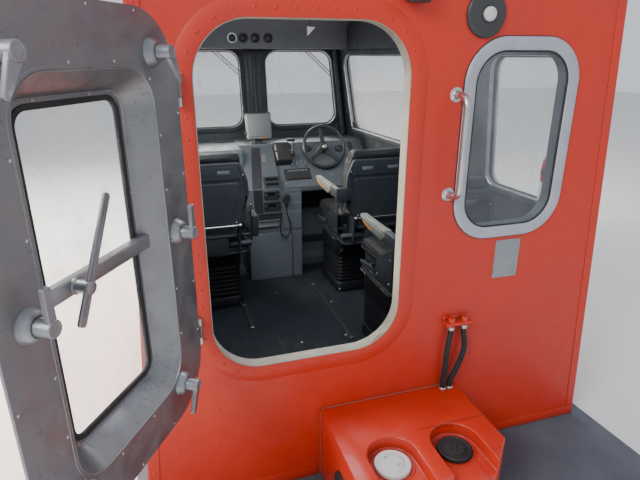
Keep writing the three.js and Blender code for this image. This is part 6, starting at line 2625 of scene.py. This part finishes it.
@dataclass
class Extinguisher(Build):
    """The red extinguisher inside the aft window, on its bracket."""

    nodes: dict[str, bpy.types.Object]
    x: float = 0.772
    y: float = -1.215
    foot_z: float = 0.985
    bottle: tuple[Flat, ...] = (
        (48, 0), (53, 3), (55, 9), (55, 232), (53, 250), (46, 268), (34, 280), (24, 286), (22, 290),
        (22, 300),
    )
    strap: tuple[Flat, ...] = ((55.1, -12), (57, -12), (57, 12), (55.1, 12))
    straps_z: Flat = (1.040, 1.190)
    band: tuple[Flat, ...] = ((55.0, 85), (55.5, 85), (55.5, 165), (55.0, 165))
    sides: int = 48

    def build(self) -> None:
        """Makes the bottle, valve, hose, straps and bracket."""
        spot = Matrix.Translation((self.x, self.y, self.foot_z))
        body = Bench.turned("bottle", mm(*self.bottle), spot, 56)
        bracket = Bench.block(
            "bracket",
            (self.x + 0.050, self.y - 0.025, 1.000),
            (LINES.half(self.y, 1.19) - LINES.wall - 2 * MM, self.y + 0.025, 1.180),
            3 * MM,
        )
        self.add(
            Bench.join("extinguisher_bottle", [body, bracket]), Coats.RED, "red_fittings", ["extinguisher"]
        )
        dark = [
            Bench.turned(
                "valve", [(15 * MM, 0.298), (15 * MM, 0.318), (10 * MM, 0.326), (10 * MM, 0.334)], spot, 24
            ),
            Bench.block(
                "lever", (self.x - 9 * MM, self.y - 0.072, 1.313), (self.x + 9 * MM, self.y + 0.020, 1.319),
                2 * MM,
            ),
            Bench.block(
                "handle", (self.x - 11 * MM, self.y - 0.064, 1.296),
                (self.x + 11 * MM, self.y + 0.010, 1.302), 2 * MM,
            ),
        ]
        for z in self.straps_z:
            loops = hoops(self.strap, self.sides)
            dark.append(Bench.loft("strap", loops, Matrix.Translation((self.x, self.y, z)), ring=True))
        hose = smooth_route(
            [
                (self.x - 8 * MM, self.y, 1.300), (self.x - 0.045, self.y - 0.01, 1.306),
                (self.x - 0.066, self.y - 0.02, 1.26), (self.x - 0.064, self.y - 0.02, 1.16),
                (self.x - 0.062, self.y - 0.012, 1.06),
            ],
            6,
        )
        dark.append(Bench.pipe("hose", hose, 6 * MM, 4, smooth=False))
        self.add(Bench.join("extinguisher_fittings", dark), Coats.PLASTIC, "black_plastic")
        loops = hoops(self.band, self.sides)
        self.add(Bench.loft("extinguisher_band", loops, spot, ring=True), Coats.WHITE, "cap_white")


@dataclass
class Wipers(Build):
    """The pantograph wipers on the front windows."""

    pivot_z: float = 1.735
    x: float = 0.375
    sweep: float = 0.280

    def build(self) -> None:
        """Makes one wiper for each side."""
        for side, name in ((-1, "port"), (1, "starboard")):
            self.add(
                self.wiper(side, f"wiper_arm_{name}"), Coats.PLASTIC, "black_plastic", [f"wiper_{name}"]
            )

    def wiper(self, side: int, name: str) -> bpy.types.Object:
        """Makes the motor cover, the twin arms, the bridge and the blade of a side."""
        x = side * self.x
        low = x + self.sweep

        def at(u: float, off: float, z: float) -> Vector:
            """Gives a point over the front wall."""
            return LINES.on_front(u, z) + LINES.front_normal() * off

        face = frame_at(at(x, 0.3 * MM, self.pivot_z), LINES.front_normal())
        parts = [
            Bench.moulding(
                "cover", Bench.rect(0.080, 0.060), 12 * MM, mm((0, 0), (0, 22), (3, 30), (8, 34)), face, 8,
                caps=True,
            )
        ]
        for dx in (-16 * MM, 16 * MM):
            parts.append(
                Bench.rod("arm", at(x + dx, 0.026, 1.740), at(low + dx, 0.026, 1.486), 4.5 * MM, 16, 1 * MM)
            )
            spot = frame_at(at(x + dx, 0.020, 1.740), LINES.front_normal())
            parts.append(Bench.turned("pivot", mm((9, 0), (9, 16), (7, 18)), spot, 20))
        parts.append(
            Bench.rod(
                "bridge", at(low - 0.024, 0.026, 1.488), at(low + 0.024, 0.026, 1.488), 7 * MM, 20, 1.5 * MM
            )
        )
        parts.append(Bench.rod("back", at(low, 0.026, 1.300), at(low, 0.026, 1.670), 4 * MM, 12, 1 * MM))
        parts.append(Bench.rod("rubber", at(low, 0.017, 1.290), at(low, 0.017, 1.680), 5.5 * MM, 6, 1 * MM))
        for z in (1.33, 1.43, 1.54, 1.64):
            parts.append(Bench.rod("claw", at(low, 0.014, z), at(low, 0.031, z), 6 * MM, 10, 1 * MM))
        return Bench.join(name, parts)


@dataclass(frozen=True)
class SeatPlace:
    """Where one seat stands, which side its aisle is on and whether it has an arm."""

    name: str
    x: float
    y: float
    lift: float
    aisle: int
    arm: bool

    def node(self, part: str) -> str:
        """Gives the name of one of the seat's CAD nodes."""
        return f"seat_{part}_{self.name}"

    def copy(self, model: bpy.types.Object, part: str, sprung: bool = True) -> bpy.types.Object:
        """Copies a model, made with its aisle to port, to this seat.

        Args:
            model: The part, made about the seat's own middle.
            part: What the copy is called, before the seat's name.
            sprung: Whether it rises with the seat, as its suspension is set.

        Returns:
            The copy.
        """
        made = model.copy()
        made.data = model.data.copy()
        made.name = f"{part}_{self.name}"
        bpy.context.scene.collection.objects.link(made)
        if self.aisle > 0:
            made.data.transform(Matrix.Diagonal((-1, 1, 1, 1)))
            made.data.flip_normals()
        if sprung:
            for vert in made.data.vertices:
                vert.co.z += self.lift * max(0.0, min(1.0, (vert.co.z - 0.10) / 0.19))
        made.data.transform(Matrix.Translation((self.x, self.y, 0)))
        return made


@dataclass
class Seats(Build):
    """The three suspension seats: base, tray, hard shell, pads, arms and levers.

    Each model is made once about the seat's own middle, its rear face at Y 0 and its aisle to port.
    """

    places: tuple[SeatPlace, ...] = (
        SeatPlace("port_fore", -0.545, -0.010, 0.010, 1, False),
        SeatPlace("starboard_fore", 0.520, -0.010, -0.018, -1, True),
        SeatPlace("starboard_aft", 0.480, -0.940, 0.0, -1, True),
    )
    floor: float = 0.036
    base_half: float = 0.195
    base: Flat = (0.235, 0.620)
    tray_half: float = 0.225
    tray: Flat = (0.040, 0.590)
    tray_z: float = 0.476
    cushion_half: float = 0.228
    cushion: Flat = (0.137, 0.626)
    cushion_z: Flat = (0.602, 0.662)
    seam_z: float = 0.646
    arm_rest: float = 0.806
    bolt: float = 5 * MM
    folds: int = 7
    fold_z: float = 0.078
    fold_step: float = 0.029
    hub_ring: tuple[Flat, ...] = ((27, 0), (27, 8), (24, 12), (12, 13))
    cap_ring: tuple[Flat, ...] = ((14, 0), (14, 3), (10, 6), (4, 7))
    knob_ring: tuple[Flat, ...] = ((26, 0), (26, 3), (22, 5), (21, 18), (18, 21), (6, 21))
    grip_ring: tuple[Flat, ...] = ((6, 0), (9, 2), (12, 9), (12, 20), (10, 24), (4, 26))
    tray_edge: tuple[Flat, ...] = (
        (16, 0), (6, 3), (3, 8), (0, 10), (0, 16), (4, 19), (4, 40), (1, 42), (1, 46), (4, 48)
    )
    back_edge: tuple[Flat, ...] = (
        (4, 0), (0, 4), (0, 17), (1.5, 21), (5, 23.5), (18, 23.5), (22, 20), (24, 19.5)
    )
    panel_edge: tuple[Flat, ...] = ((0, 19), (0, 20.5), (2, 22.3), (7, 22.6))
    panels: tuple[tuple[tuple[Flat, ...], float, int], ...] = (
        (((-0.118, 0.640), (0.118, 0.640), (0.180, 0.940), (-0.180, 0.940)), 24, 8),
        (((-0.190, 0.956), (0.190, 0.956), (0.166, 1.040), (-0.166, 1.040)), 9, 6),
    )
    wings: tuple[tuple[str, tuple[Flat, ...], float, float, float], ...] = (
        (
            "wing",
            (
                (0.100, 0.540), (0.302, 0.540), (0.290, 0.648), (0.258, 0.662), (0.150, 0.744),
                (0.100, 0.768),
            ),
            12,
            0.2435,
            0.2535,
        ),
        (
            "far_wing",
            ((0.100, 0.540), (0.302, 0.540), (0.290, 0.620), (0.150, 0.668), (0.100, 0.680)),
            12,
            -0.2535,
            -0.2435,
        ),
        ("paddle", ((0.335, 0.552), (0.500, 0.545), (0.512, 0.562), (0.345, 0.582)), 6, 0.2440, 0.2560),
    )

    def side_plate(
        self, name: str, points: Sequence[Flat], radius: float, near: float, far: float,
        edge: float = 2 * MM,
    ) -> bpy.types.Object:
        """Makes a plate from an outline in the seat's side view, between two distances to port."""
        face = frame_at((-near, 0, 0), (-1, 0, 0))
        corners = on_plane(face, [(-near, y, z) for y, z in points])
        deep = far - near
        profile = [
            (edge, 0.0), (0.0, edge), (0.0, deep - edge), (edge * 0.4, deep - edge * 0.4), (edge, deep)
        ]
        return Bench.moulding(name, corners, radius, profile, face, 6, caps=True)

    def build(self) -> None:
        """Makes the models and copies them to the three seats."""
        shell, steel, plates = self.shell(), self.steel(), self.plates()
        pads = {"cushion_pad": self.cushion_pad(), "back_pad": self.back_pad()}
        arm, arm_pad, insert = self.arm(), self.arm_pad(), self.insert()
        box = self.control_box()
        for place in self.places:
            side = place.copy(arm, "side", sprung=False) if place.arm else place.copy(box, "side")
            parts = [place.copy(shell, "shell"), side]
            self.add(
                Bench.join(f"seat_body_{place.name}", parts), Coats.SHELL, "seat_shell",
                [place.node("frame")],
            )
            self.add(place.copy(steel, "seat_steel"), Coats.STEEL, "steel")
            self.add(place.copy(plates, "seat_plates"), Coats.CABINET, "black_plastic")
            for (part, model), node in zip(pads.items(), ("cushion", "back")):
                self.add(place.copy(model, part), Coats.HIDE, "upholstery", [place.node(node)])
            if place.arm:
                self.add(place.copy(arm_pad, "arm_pad", sprung=False), Coats.ARM_PAD, "upholstery")
                self.add(place.copy(insert, "arm_insert", sprung=False), Coats.AMBER, "black_plastic")
        for model in (shell, steel, plates, *pads.values(), arm, arm_pad, insert, box):
            bpy.data.objects.remove(model)

    def shell(self) -> bpy.types.Object:
        """Makes the base with its bellows, the tray, the link and the moulded back shell."""
        y0, y1 = self.base
        plan = box(-self.base_half, y0, self.base_half, y1)
        folds = [(6 * MM, 0.0), (0.0, 6 * MM), (0.0, 0.066), (5 * MM, 0.072), (14 * MM, 0.074)]
        for k in range(self.folds):
            z = self.fold_z + self.fold_step * k
            folds += [(12 * MM, z), (6 * MM, z + 11 * MM), (6 * MM, z + 17 * MM)]
        folds += [
            (16 * MM, 0.284), (16 * MM, 0.290), (2 * MM, 0.292), (0.0, 0.296), (0.0, 0.438), (4 * MM, 0.443)
        ]
        parts = [
            Bench.moulding(
                "base", plan, 46 * MM, folds, Matrix.Translation((0, 0, self.floor)), 10, caps=True
            )
        ]
        y0, y1 = self.tray
        plan = box(-self.tray_half, y0, self.tray_half, y1)
        spot = Matrix.Translation((0, 0, self.tray_z))
        parts.append(Bench.moulding("tray", plan, 48 * MM, mm(*self.tray_edge), spot, 12, caps=True))
        plan = box(-0.203, 0.134, 0.203, 0.598)
        carrier = mm((8, 0), (4, 4), (0, 40), (0, 70), (3, 76))
        parts.append(
            Bench.moulding(
                "carrier", plan, 44 * MM, carrier, Matrix.Translation((0, 0, 0.522)), 10, caps=True
            )
        )
        parts.append(Bench.block("link", (-0.090, 0.002, 0.492), (0.090, 0.088, 0.618), 8 * MM, 3))
        parts.append(Bench.rod("cross", (-0.236, 0.052, 0.546), (0.236, 0.052, 0.546), 19 * MM, 24, 4 * MM))
        for side in (-1, 1):
            x0, x1 = sorted((side * 0.154, side * 0.168))
            parts.append(Bench.block("plate", (x0, 0.018, 0.512), (x1, 0.126, 0.690), 5 * MM, 3))
            for y, z in ((0.128, 0.572), (0.270, 0.572)):
                parts.append(
                    Bench.rod(
                        "pin", (side * 0.196, y + 0.010, z), (side * 0.247, y + 0.010, z), 9 * MM, 16,
                        1 * MM,
                    )
                )
        parts.append(Bench.rod("pin", (-0.196, 0.410, 0.563), (-0.250, 0.410, 0.563), 9 * MM, 16, 1 * MM))
        for name, points, radius, near, far in self.wings:
            parts.append(self.side_plate(name, points, radius * MM, near, far, 3 * MM))
        face = frame_at((0, 0.0245, 0), (0, -1, 0))
        half = [(0.150, 0.600), (0.168, 0.725), (0.230, 0.865), (0.222, 0.965), (0.180, 1.060)]
        soft = [40 * MM, 120 * MM, 100 * MM, 110 * MM, 26 * MM]
        radii = soft + soft[::-1]
        edge = mm(*self.back_edge)
        parts.append(Bench.moulding("back", both_sides(half), radii, edge, face, 10, caps=True))
        panel = mm(*self.panel_edge)
        for points, radius, segments in self.panels:
            parts.append(Bench.moulding("panel", points, radius * MM, panel, face, segments, caps=True))
        spot = frame_at((-0.160, self.base[0], 0.365), (0, -1, 0))
        parts.append(Bench.turned("knob", mm(*self.knob_ring), spot, 32))
        return Bench.join("seat_shell_model", parts)

    def plates(self) -> bpy.types.Object:
        """Makes the two blank plates on the shell's rear face."""
        made = []
        for side in (-1, 1):
            face = frame_at((side * 0.086, 0.0021, 1.003), (0, -1, 0))
            made.append(
                Bench.moulding(
                    "plate", Bench.rect(0.072, 0.022), 2.5 * MM, mm((0, 0), (0, 0.7), (0.5, 1.1)), face, 4,
                    caps=True,
                )
            )
        return Bench.join("seat_plates_model", made)

    def steel(self) -> bpy.types.Object:
        """Makes the runners, the tilt bar with its knob, the recline lever and the bolts."""
        parts = []
        for side in (-1, 1):
            for z, far in ((0.4800, 0.233), (0.5190, 0.231)):
                x0, x1 = sorted((side * 0.2245, side * far))
                parts.append(
                    Bench.block("runner", (x0, 0.175, z - 3 * MM), (x1, 0.560, z + 3 * MM), 1.2 * MM)
                )
        parts.append(
            Bench.rod("bar", (-0.150, -0.014, 0.684), (0.190, -0.014, 0.684), 5.5 * MM, 20, 1 * MM)
        )
        for x in (-0.120, 0.140):
            parts.append(Bench.rod("stay", (x, -0.014, 0.684), (x, 0.006, 0.684), 4 * MM, 14))
        parts.append(
            Bench.turned("grip", mm(*self.grip_ring), frame_at((-0.148, -0.014, 0.684), (-1, 0, 0)), 28)
        )
        lever = smooth_route(
            [
                (-0.226, 0.070, 0.722), (-0.234, 0.060, 0.732), (-0.238, 0.048, 0.752),
                (-0.238, 0.030, 0.790),
            ],
            5,
        )
        parts.append(Bench.pipe("lever", lever, 4 * MM, 4, smooth=False))
        parts.append(
            Bench.rod("lever_tip", (-0.238, 0.038, 0.774), (-0.238, 0.026, 0.800), 6.5 * MM, 20, 2 * MM)
        )
        bolt = Bench.stud("bolt", self.bolt, 3 * MM)
        spots = [
            frame_at((x, self.base[0] - 0.2 * MM, z), (0, -1, 0))
            for x in (-0.175, 0.175)
            for z in (0.058, 0.420)
        ]
        spots += [
            frame_at((-0.2535, y, z), (-1, 0, 0))
            for y, z in ((0.128, 0.572), (0.270, 0.572), (0.128, 0.700))
        ]
        spots += [
            frame_at((side * x, 0.0005, z), (0, -1, 0))
            for side in (-1, 1)
            for x, z in ((0.144, 0.700), (0.196, 0.985))
        ]
        parts.append(Bench.copies("bolts", bolt, spots))
        return Bench.join("seat_steel_model", parts)

    def arm(self) -> bpy.types.Object:
        """Makes the arm's bracket, its hub and the carrier under the pad."""
        parts = [
            Bench.block("bracket", (-0.292, 0.001, 0.782), (-0.196, 0.023, 0.866), 5 * MM, 3),
            self.side_plate(
                "carrier", ((0.004, 0.802), (0.118, 0.802), (0.118, 0.862), (0.004, 0.862)), 8 * MM, 0.259,
                0.295, 4 * MM,
            ),
        ]
        spot = frame_at((-0.236, 0.062, 0.790), (-1, 0, 0))
        parts.append(Bench.turned("hub", mm(*self.hub_ring), spot, 32))
        return Bench.join("seat_arm_model", parts)

    def control_box(self) -> bpy.types.Object:
        """Makes the block beside the tray of the seat that has no arm."""
        parts = [
            self.side_plate(
                "box",
                ((0.075, 0.570), (0.250, 0.570), (0.250, 0.680), (0.180, 0.712), (0.075, 0.712)),
                16 * MM,
                0.252,
                0.290,
                6 * MM,
            )
        ]
        parts.append(
            Bench.turned("cap", mm(*self.cap_ring), frame_at((-0.290, 0.150, 0.630), (-1, 0, 0)), 24)
        )
        return Bench.join("seat_box_model", parts)

    def arm_pad(self) -> bpy.types.Object:
        """Makes the armrest's pad, tapering to its nose."""
        points = (
            (0.106, 0.828), (0.150, 0.799), (0.270, 0.803), (0.390, 0.829), (0.428, 0.852), (0.420, 0.866),
            (0.106, 0.866),
        )
        pad = self.side_plate("arm_pad_model", points, 6 * MM, 0.2535, 0.2995, 7 * MM)
        Bench.filled(pad, lambda co: co, lambda co: co.z < self.arm_rest, 3 * MM, 4 * MM)
        line = [(-0.31, y, z) for y, z in ((0.112, 0.852), (0.300, 0.852), (0.410, 0.860))]
        Bench.sewn(pad, [line], 3 * MM, 1.2 * MM, (-1, 0, 0))
        return pad

    def insert(self) -> bpy.types.Object:
        """Makes the plain oval insert in the arm's aisle side."""
        points = ((0.272, 0.812), (0.368, 0.832), (0.374, 0.844), (0.268, 0.826))
        return self.side_plate("arm_insert_model", points, 4.5 * MM, 0.298, 0.3032, 1 * MM)

    def cushion_pad(self) -> bpy.types.Object:
        """Makes the seat cushion: bolsters, a hollow for sitting and a rolled front."""
        w, (y0, y1), (z0, z1) = self.cushion_half, self.cushion, self.cushion_z
        plan = box(-w, y0, w, y1)
        h = z1 - z0
        profile = [
            (10 * MM, 0.0), (2 * MM, 6 * MM), (0.0, 0.4 * h), (2 * MM, 0.75 * h), (10 * MM, h - 4 * MM),
            (20 * MM, h),
        ]
        pad = Bench.moulding(
            "cushion_pad_model", plan, [40 * MM, 40 * MM, 64 * MM, 64 * MM], profile,
            Matrix.Translation((0, 0, z0)), 12, caps=True,
        )

        def form(co: Vector) -> Vector:
            """Sinks the middle and rolls the front edge down."""
            share = max(0.0, min(1.0, (co.z - z0 - 0.3 * h) / (0.7 * h)))
            across = max(0.0, 1 - (abs(co.x) / 0.165) ** 4)
            along = max(0.0, 1 - (abs(co.y - 0.360) / 0.210) ** 4)
            front = max(0.0, (co.y - 0.520) / 0.110) ** 2
            co.z -= share * (0.010 * across * along + 0.016 * front)
            return co

        Bench.filled(pad, form, lambda co: co.z < z0 + 3 * MM)
        x, top = 0.148, 0.69
        loop = smooth_route(
            [
                (-x, y0 + 0.014, top), (-x, 0.30, top), (-x - 0.006, 0.46, top),
                (-x + 0.010, y1 - 0.012, top),
            ],
            8,
        )
        mirror = [(-p.x, p.y, p.z) for p in loop]
        cross = smooth_route([(-x, 0.270, top), (0.0, 0.262, top), (x, 0.270, top)], 8)
        far = smooth_route([(-x, 0.455, top), (0.0, 0.468, top), (x, 0.455, top)], 8)
        Bench.sewn(pad, [loop, mirror, cross, far], 4.5 * MM, 3.2 * MM, (0, 0, 1))
        self.welt(pad, self.seam_z)
        return pad

    def welt(self, pad: bpy.types.Object, height: float) -> None:
        """Presses the seam that runs round the cushion's side."""
        for vert in pad.data.vertices:
            gap = abs(vert.co.z - height + 0.014 * max(0.0, (vert.co.y - 0.520) / 0.110) ** 2)
            if gap < 0.012 and abs(vert.normal.z) < 0.75:
                vert.co -= vert.normal * 2.2 * MM * math.exp(-((gap / (3.5 * MM)) ** 2))

    def back_pad(self) -> bpy.types.Object:
        """Makes the back pad and the roll that wraps the shell's top edge."""
        face = frame_at((0, 0.0305, 0), (0, 1, 0))
        half = [
            (0.156, 0.632), (0.176, 0.725), (0.234, 0.862), (0.229, 0.965), (0.190, 1.046), (0.184, 1.108)
        ]
        outline = both_sides(half)
        soft = [40 * MM, 110 * MM, 100 * MM, 110 * MM, 90 * MM, 30 * MM]
        radii = soft + soft[::-1]
        deep = [(8, 0), (1, 5), (0, 40), (3, 62), (12, 77), (24, 82)]
        pad = Bench.moulding("pad", outline, radii, mm(*deep), face, 8, caps=True)
        roll_face = frame_at((0, 0.0085, 0), (0, 1, 0))
        roll = [(10, 0), (2, 6), (0, 20), (0, 55), (6, 74), (18, 82)]
        corners = [(-0.196, 1.054), (0.196, 1.054), (0.178, 1.114), (-0.178, 1.114)]
        top = Bench.moulding("roll", corners, 24 * MM, mm(*roll), roll_face, 8, caps=True)
        pad = Bench.join("back_pad_model", [pad, top])

        def form(co: Vector) -> Vector:
            """Hollows the pad between its bolsters and swells it at the waist."""
            share = max(0.0, min(1.0, (co.y - 0.060) / 0.050))
            across = max(0.0, 1 - (abs(co.x) / 0.160) ** 4)
            waist = math.exp(-(((co.z - 0.760) / 0.080) ** 2))
            head = math.exp(-(((co.z - 1.060) / 0.050) ** 2))
            co.y += share * across * (0.010 * waist + 0.006 * head - 0.016)
            return co

        Bench.filled(pad, form, lambda co: co.y < 0.034 and co.z < 1.045, 6 * MM)
        y = 0.130
        seam = smooth_route(
            [(-0.135, y, 0.645), (-0.150, y, 0.760), (-0.152, y, 0.900), (-0.140, y, 1.020)], 8
        )
        mirror = [(-p.x, p.y, p.z) for p in seam]
        cross = [
            smooth_route([(-0.150, y, z), (0.0, y, z + 0.006), (0.150, y, z)], 8)
            for z in (0.745, 0.850, 0.955)
        ]
        Bench.sewn(pad, [seam, mirror, *cross], 4.5 * MM, 3.0 * MM, (0, 1, 0))
        neck = [[(-0.22, y, 1.034), (0.0, y, 1.040), (0.22, y, 1.034)]]
        Bench.sewn(pad, neck, 6 * MM, 5 * MM, (0, 1, 0))
        return pad


@dataclass
class FloorMat(Build):
    """The dark ribbed mats on the cabin's floor with their edge strips and bolts."""

    base: float = 0.0303
    thick: float = 5 * MM
    plans: tuple[tuple[Flat, ...], ...] = (
        ((-0.905, -1.288), (0.905, -1.288), (0.818, 0.612), (-0.818, 0.612)),
        ((0.182, 0.614), (0.714, 0.614), (0.714, 0.796), (0.182, 0.796)),
        ((-0.780, 0.614), (-0.234, 0.614), (-0.234, 0.738), (-0.780, 0.738)),
    )
    rails: tuple[Point, ...] = ((0.200, -0.400, 0.400), (-0.350, -0.100, 0.220))
    bolts: tuple[Flat, ...] = (
        (0.208, 0.373), (-0.10, 0.35), (-0.10, -0.35), (0.18, -0.35), (-0.10, -1.05), (0.16, -1.05),
        (-0.75, -0.60), (-0.75, -1.15), (0.24, 0.10),
    )

    def build(self) -> None:
        """Lays the mats round the console and fixes their edges."""
        spot = Matrix.Translation((0, 0, self.base))
        t = self.thick
        profile = [(0.0, 0.0), (0.0, t - 2 * MM), (2 * MM, t), (9 * MM, t), (10 * MM, t - 1 * MM)]
        mats = [Bench.moulding("mat", plan, 12 * MM, profile, spot, 4, caps=True) for plan in self.plans]
        self.add(Bench.join("floor_mat", mats), Coats.MAT, "rubber")
        rails, ends = [], []
        for x, y0, y1 in self.rails:
            top = self.base + t + 9 * MM
            rails.append(
                Bench.block(
                    "rail", (x - 13 * MM, y0, self.base + t - 1 * MM), (x + 13 * MM, y1, top), 3 * MM, 3
                )
            )
            for y in (y0, y1):
                ends.append(
                    Bench.block(
                        "end", (x - 14 * MM, y - 9 * MM, self.base + t - 1 * MM),
                        (x + 14 * MM, y + 9 * MM, top + 1 * MM), 3 * MM, 3,
                    )
                )
        self.add(Bench.join("floor_rails", rails), Coats.PLASTIC, "black_plastic")
        self.add(Bench.join("rail_ends", ends), Coats.RAIL, "steel")
        bolt = Bench.turned("bolt", mm((9, 0), (9, 1.5), (7, 3), (4, 3), (3.5, 1.5)), Matrix(), 20)
        spots = [Matrix.Translation((x, y, self.base + t - 1.2 * MM)) for x, y in self.bolts]
        self.add(Bench.copies("floor_bolts", bolt, spots), Coats.STEEL, "steel")


@dataclass(frozen=True)
class Lamp:
    """One soft square lamp, which the camera may be kept from seeing."""

    name: str
    place: Point
    aim: Point
    size: float
    power: float
    tone: Tone
    hidden: bool = False

    def hang(self) -> None:
        """Hangs the lamp."""
        data = bpy.data.lights.new(self.name, "AREA")
        data.shape = "SQUARE"
        data.size = self.size
        data.energy = self.power
        data.color = self.tone
        obj = bpy.data.objects.new(self.name, data)
        obj.location = self.place
        obj.rotation_euler = (Vector(self.aim) - Vector(self.place)).to_track_quat("-Z", "Y").to_euler()
        bpy.context.scene.collection.objects.link(obj)
        if self.hidden:
            obj.visible_camera = False


@dataclass
class Studio:
    """The camera at the photograph's place, plain light and a pale floor."""

    eye: Point = (-0.800, -2.930, 1.656)
    tilt: float = 70.0
    turn: float = -17.5
    lens: float = 28.8
    sensor: float = 36.0
    sight: float = 60.0
    sky: Tone = (0.86, 0.91, 1.0)
    sky_strength: float = 0.85
    floor_size: float = 40.0
    lamps: tuple[Lamp, ...] = (
        Lamp("key", (-3.4, 1.6, 4.6), (0.0, 0.3, 1.0), 2.4, 260.0, (1.0, 0.96, 0.90)),
        Lamp("low_sun", (-4.57, 1.5, 2.15), (0.27, 0.15, 0.9), 0.9, 700.0, (1.0, 0.93, 0.80)),
        Lamp("fill", (-5.0, -4.6, 5.2), (0.0, -1.3, 1.0), 2.5, 330.0, (0.97, 0.98, 1.0)),
        Lamp("bow", (0.4, 4.6, 3.0), (0.0, 0.5, 1.0), 2.4, 260.0, (1.0, 0.98, 0.95)),
        Lamp("cabin_light", (-0.10, -0.55, 1.930), (-0.10, -0.40, 0.0), 1.1, 24.0, (0.84, 0.92, 1.0), True),
        Lamp(
            "window_light", (-0.740, 0.150, 1.600), (0.350, -0.200, 0.850), 0.4, 16.0, (1.0, 0.95, 0.86),
            True,
        ),
    )

    def camera(self) -> None:
        """Sets the camera up."""
        data = bpy.data.cameras.new("camera")
        data.lens = self.lens
        data.sensor_width = self.sensor
        data.clip_end = self.sight
        obj = bpy.data.objects.new("camera", data)
        obj.location = self.eye
        obj.rotation_euler = (math.radians(self.tilt), 0.0, math.radians(self.turn))
        bpy.context.scene.collection.objects.link(obj)
        bpy.context.scene.camera = obj

    def light(self) -> None:
        """Lights the scene from the sky, from four lamps outside and from two in the cabin."""
        world = bpy.data.worlds.new("sky")
        world.use_nodes = True
        world.node_tree.nodes["Background"].inputs["Color"].default_value = opaque(self.sky)
        world.node_tree.nodes["Background"].inputs["Strength"].default_value = self.sky_strength
        bpy.context.scene.world = world
        for lamp in self.lamps:
            lamp.hang()

    def floor(self) -> None:
        """Lays the floor that the deck plate stands on."""
        bpy.ops.object.select_all(action="DESELECT")
        bpy.ops.mesh.primitive_plane_add(size=self.floor_size, location=(0, 0, 0))
        obj = bpy.context.active_object
        obj.name = "studio_floor"
        obj.data.materials.append(Coats.STUDIO.material())


def main() -> None:
    """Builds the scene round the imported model."""
    logging.basicConfig(level=logging.INFO, format="%(name)s %(message)s")
    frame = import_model()
    studio = Studio()
    studio.camera()
    coat_nodes(frame["nodes"])
    nodes = frame["nodes"]
    assemblies: list[Build] = [
        MicCord(), HosePair(), Opening(), Glazing(), Door(), AftFittings(), DeckBox(nodes)
    ]
    assemblies += [
        Console(nodes), Monitor(), Throttle(), Helm(), Microphone(), Overhead(nodes), Extinguisher(nodes),
        Wipers(), Seats(), FloorMat(),
    ]
    for assembly in assemblies:
        assembly.build()
    studio.light()
    studio.floor()


if __name__ == "__main__":
    main()
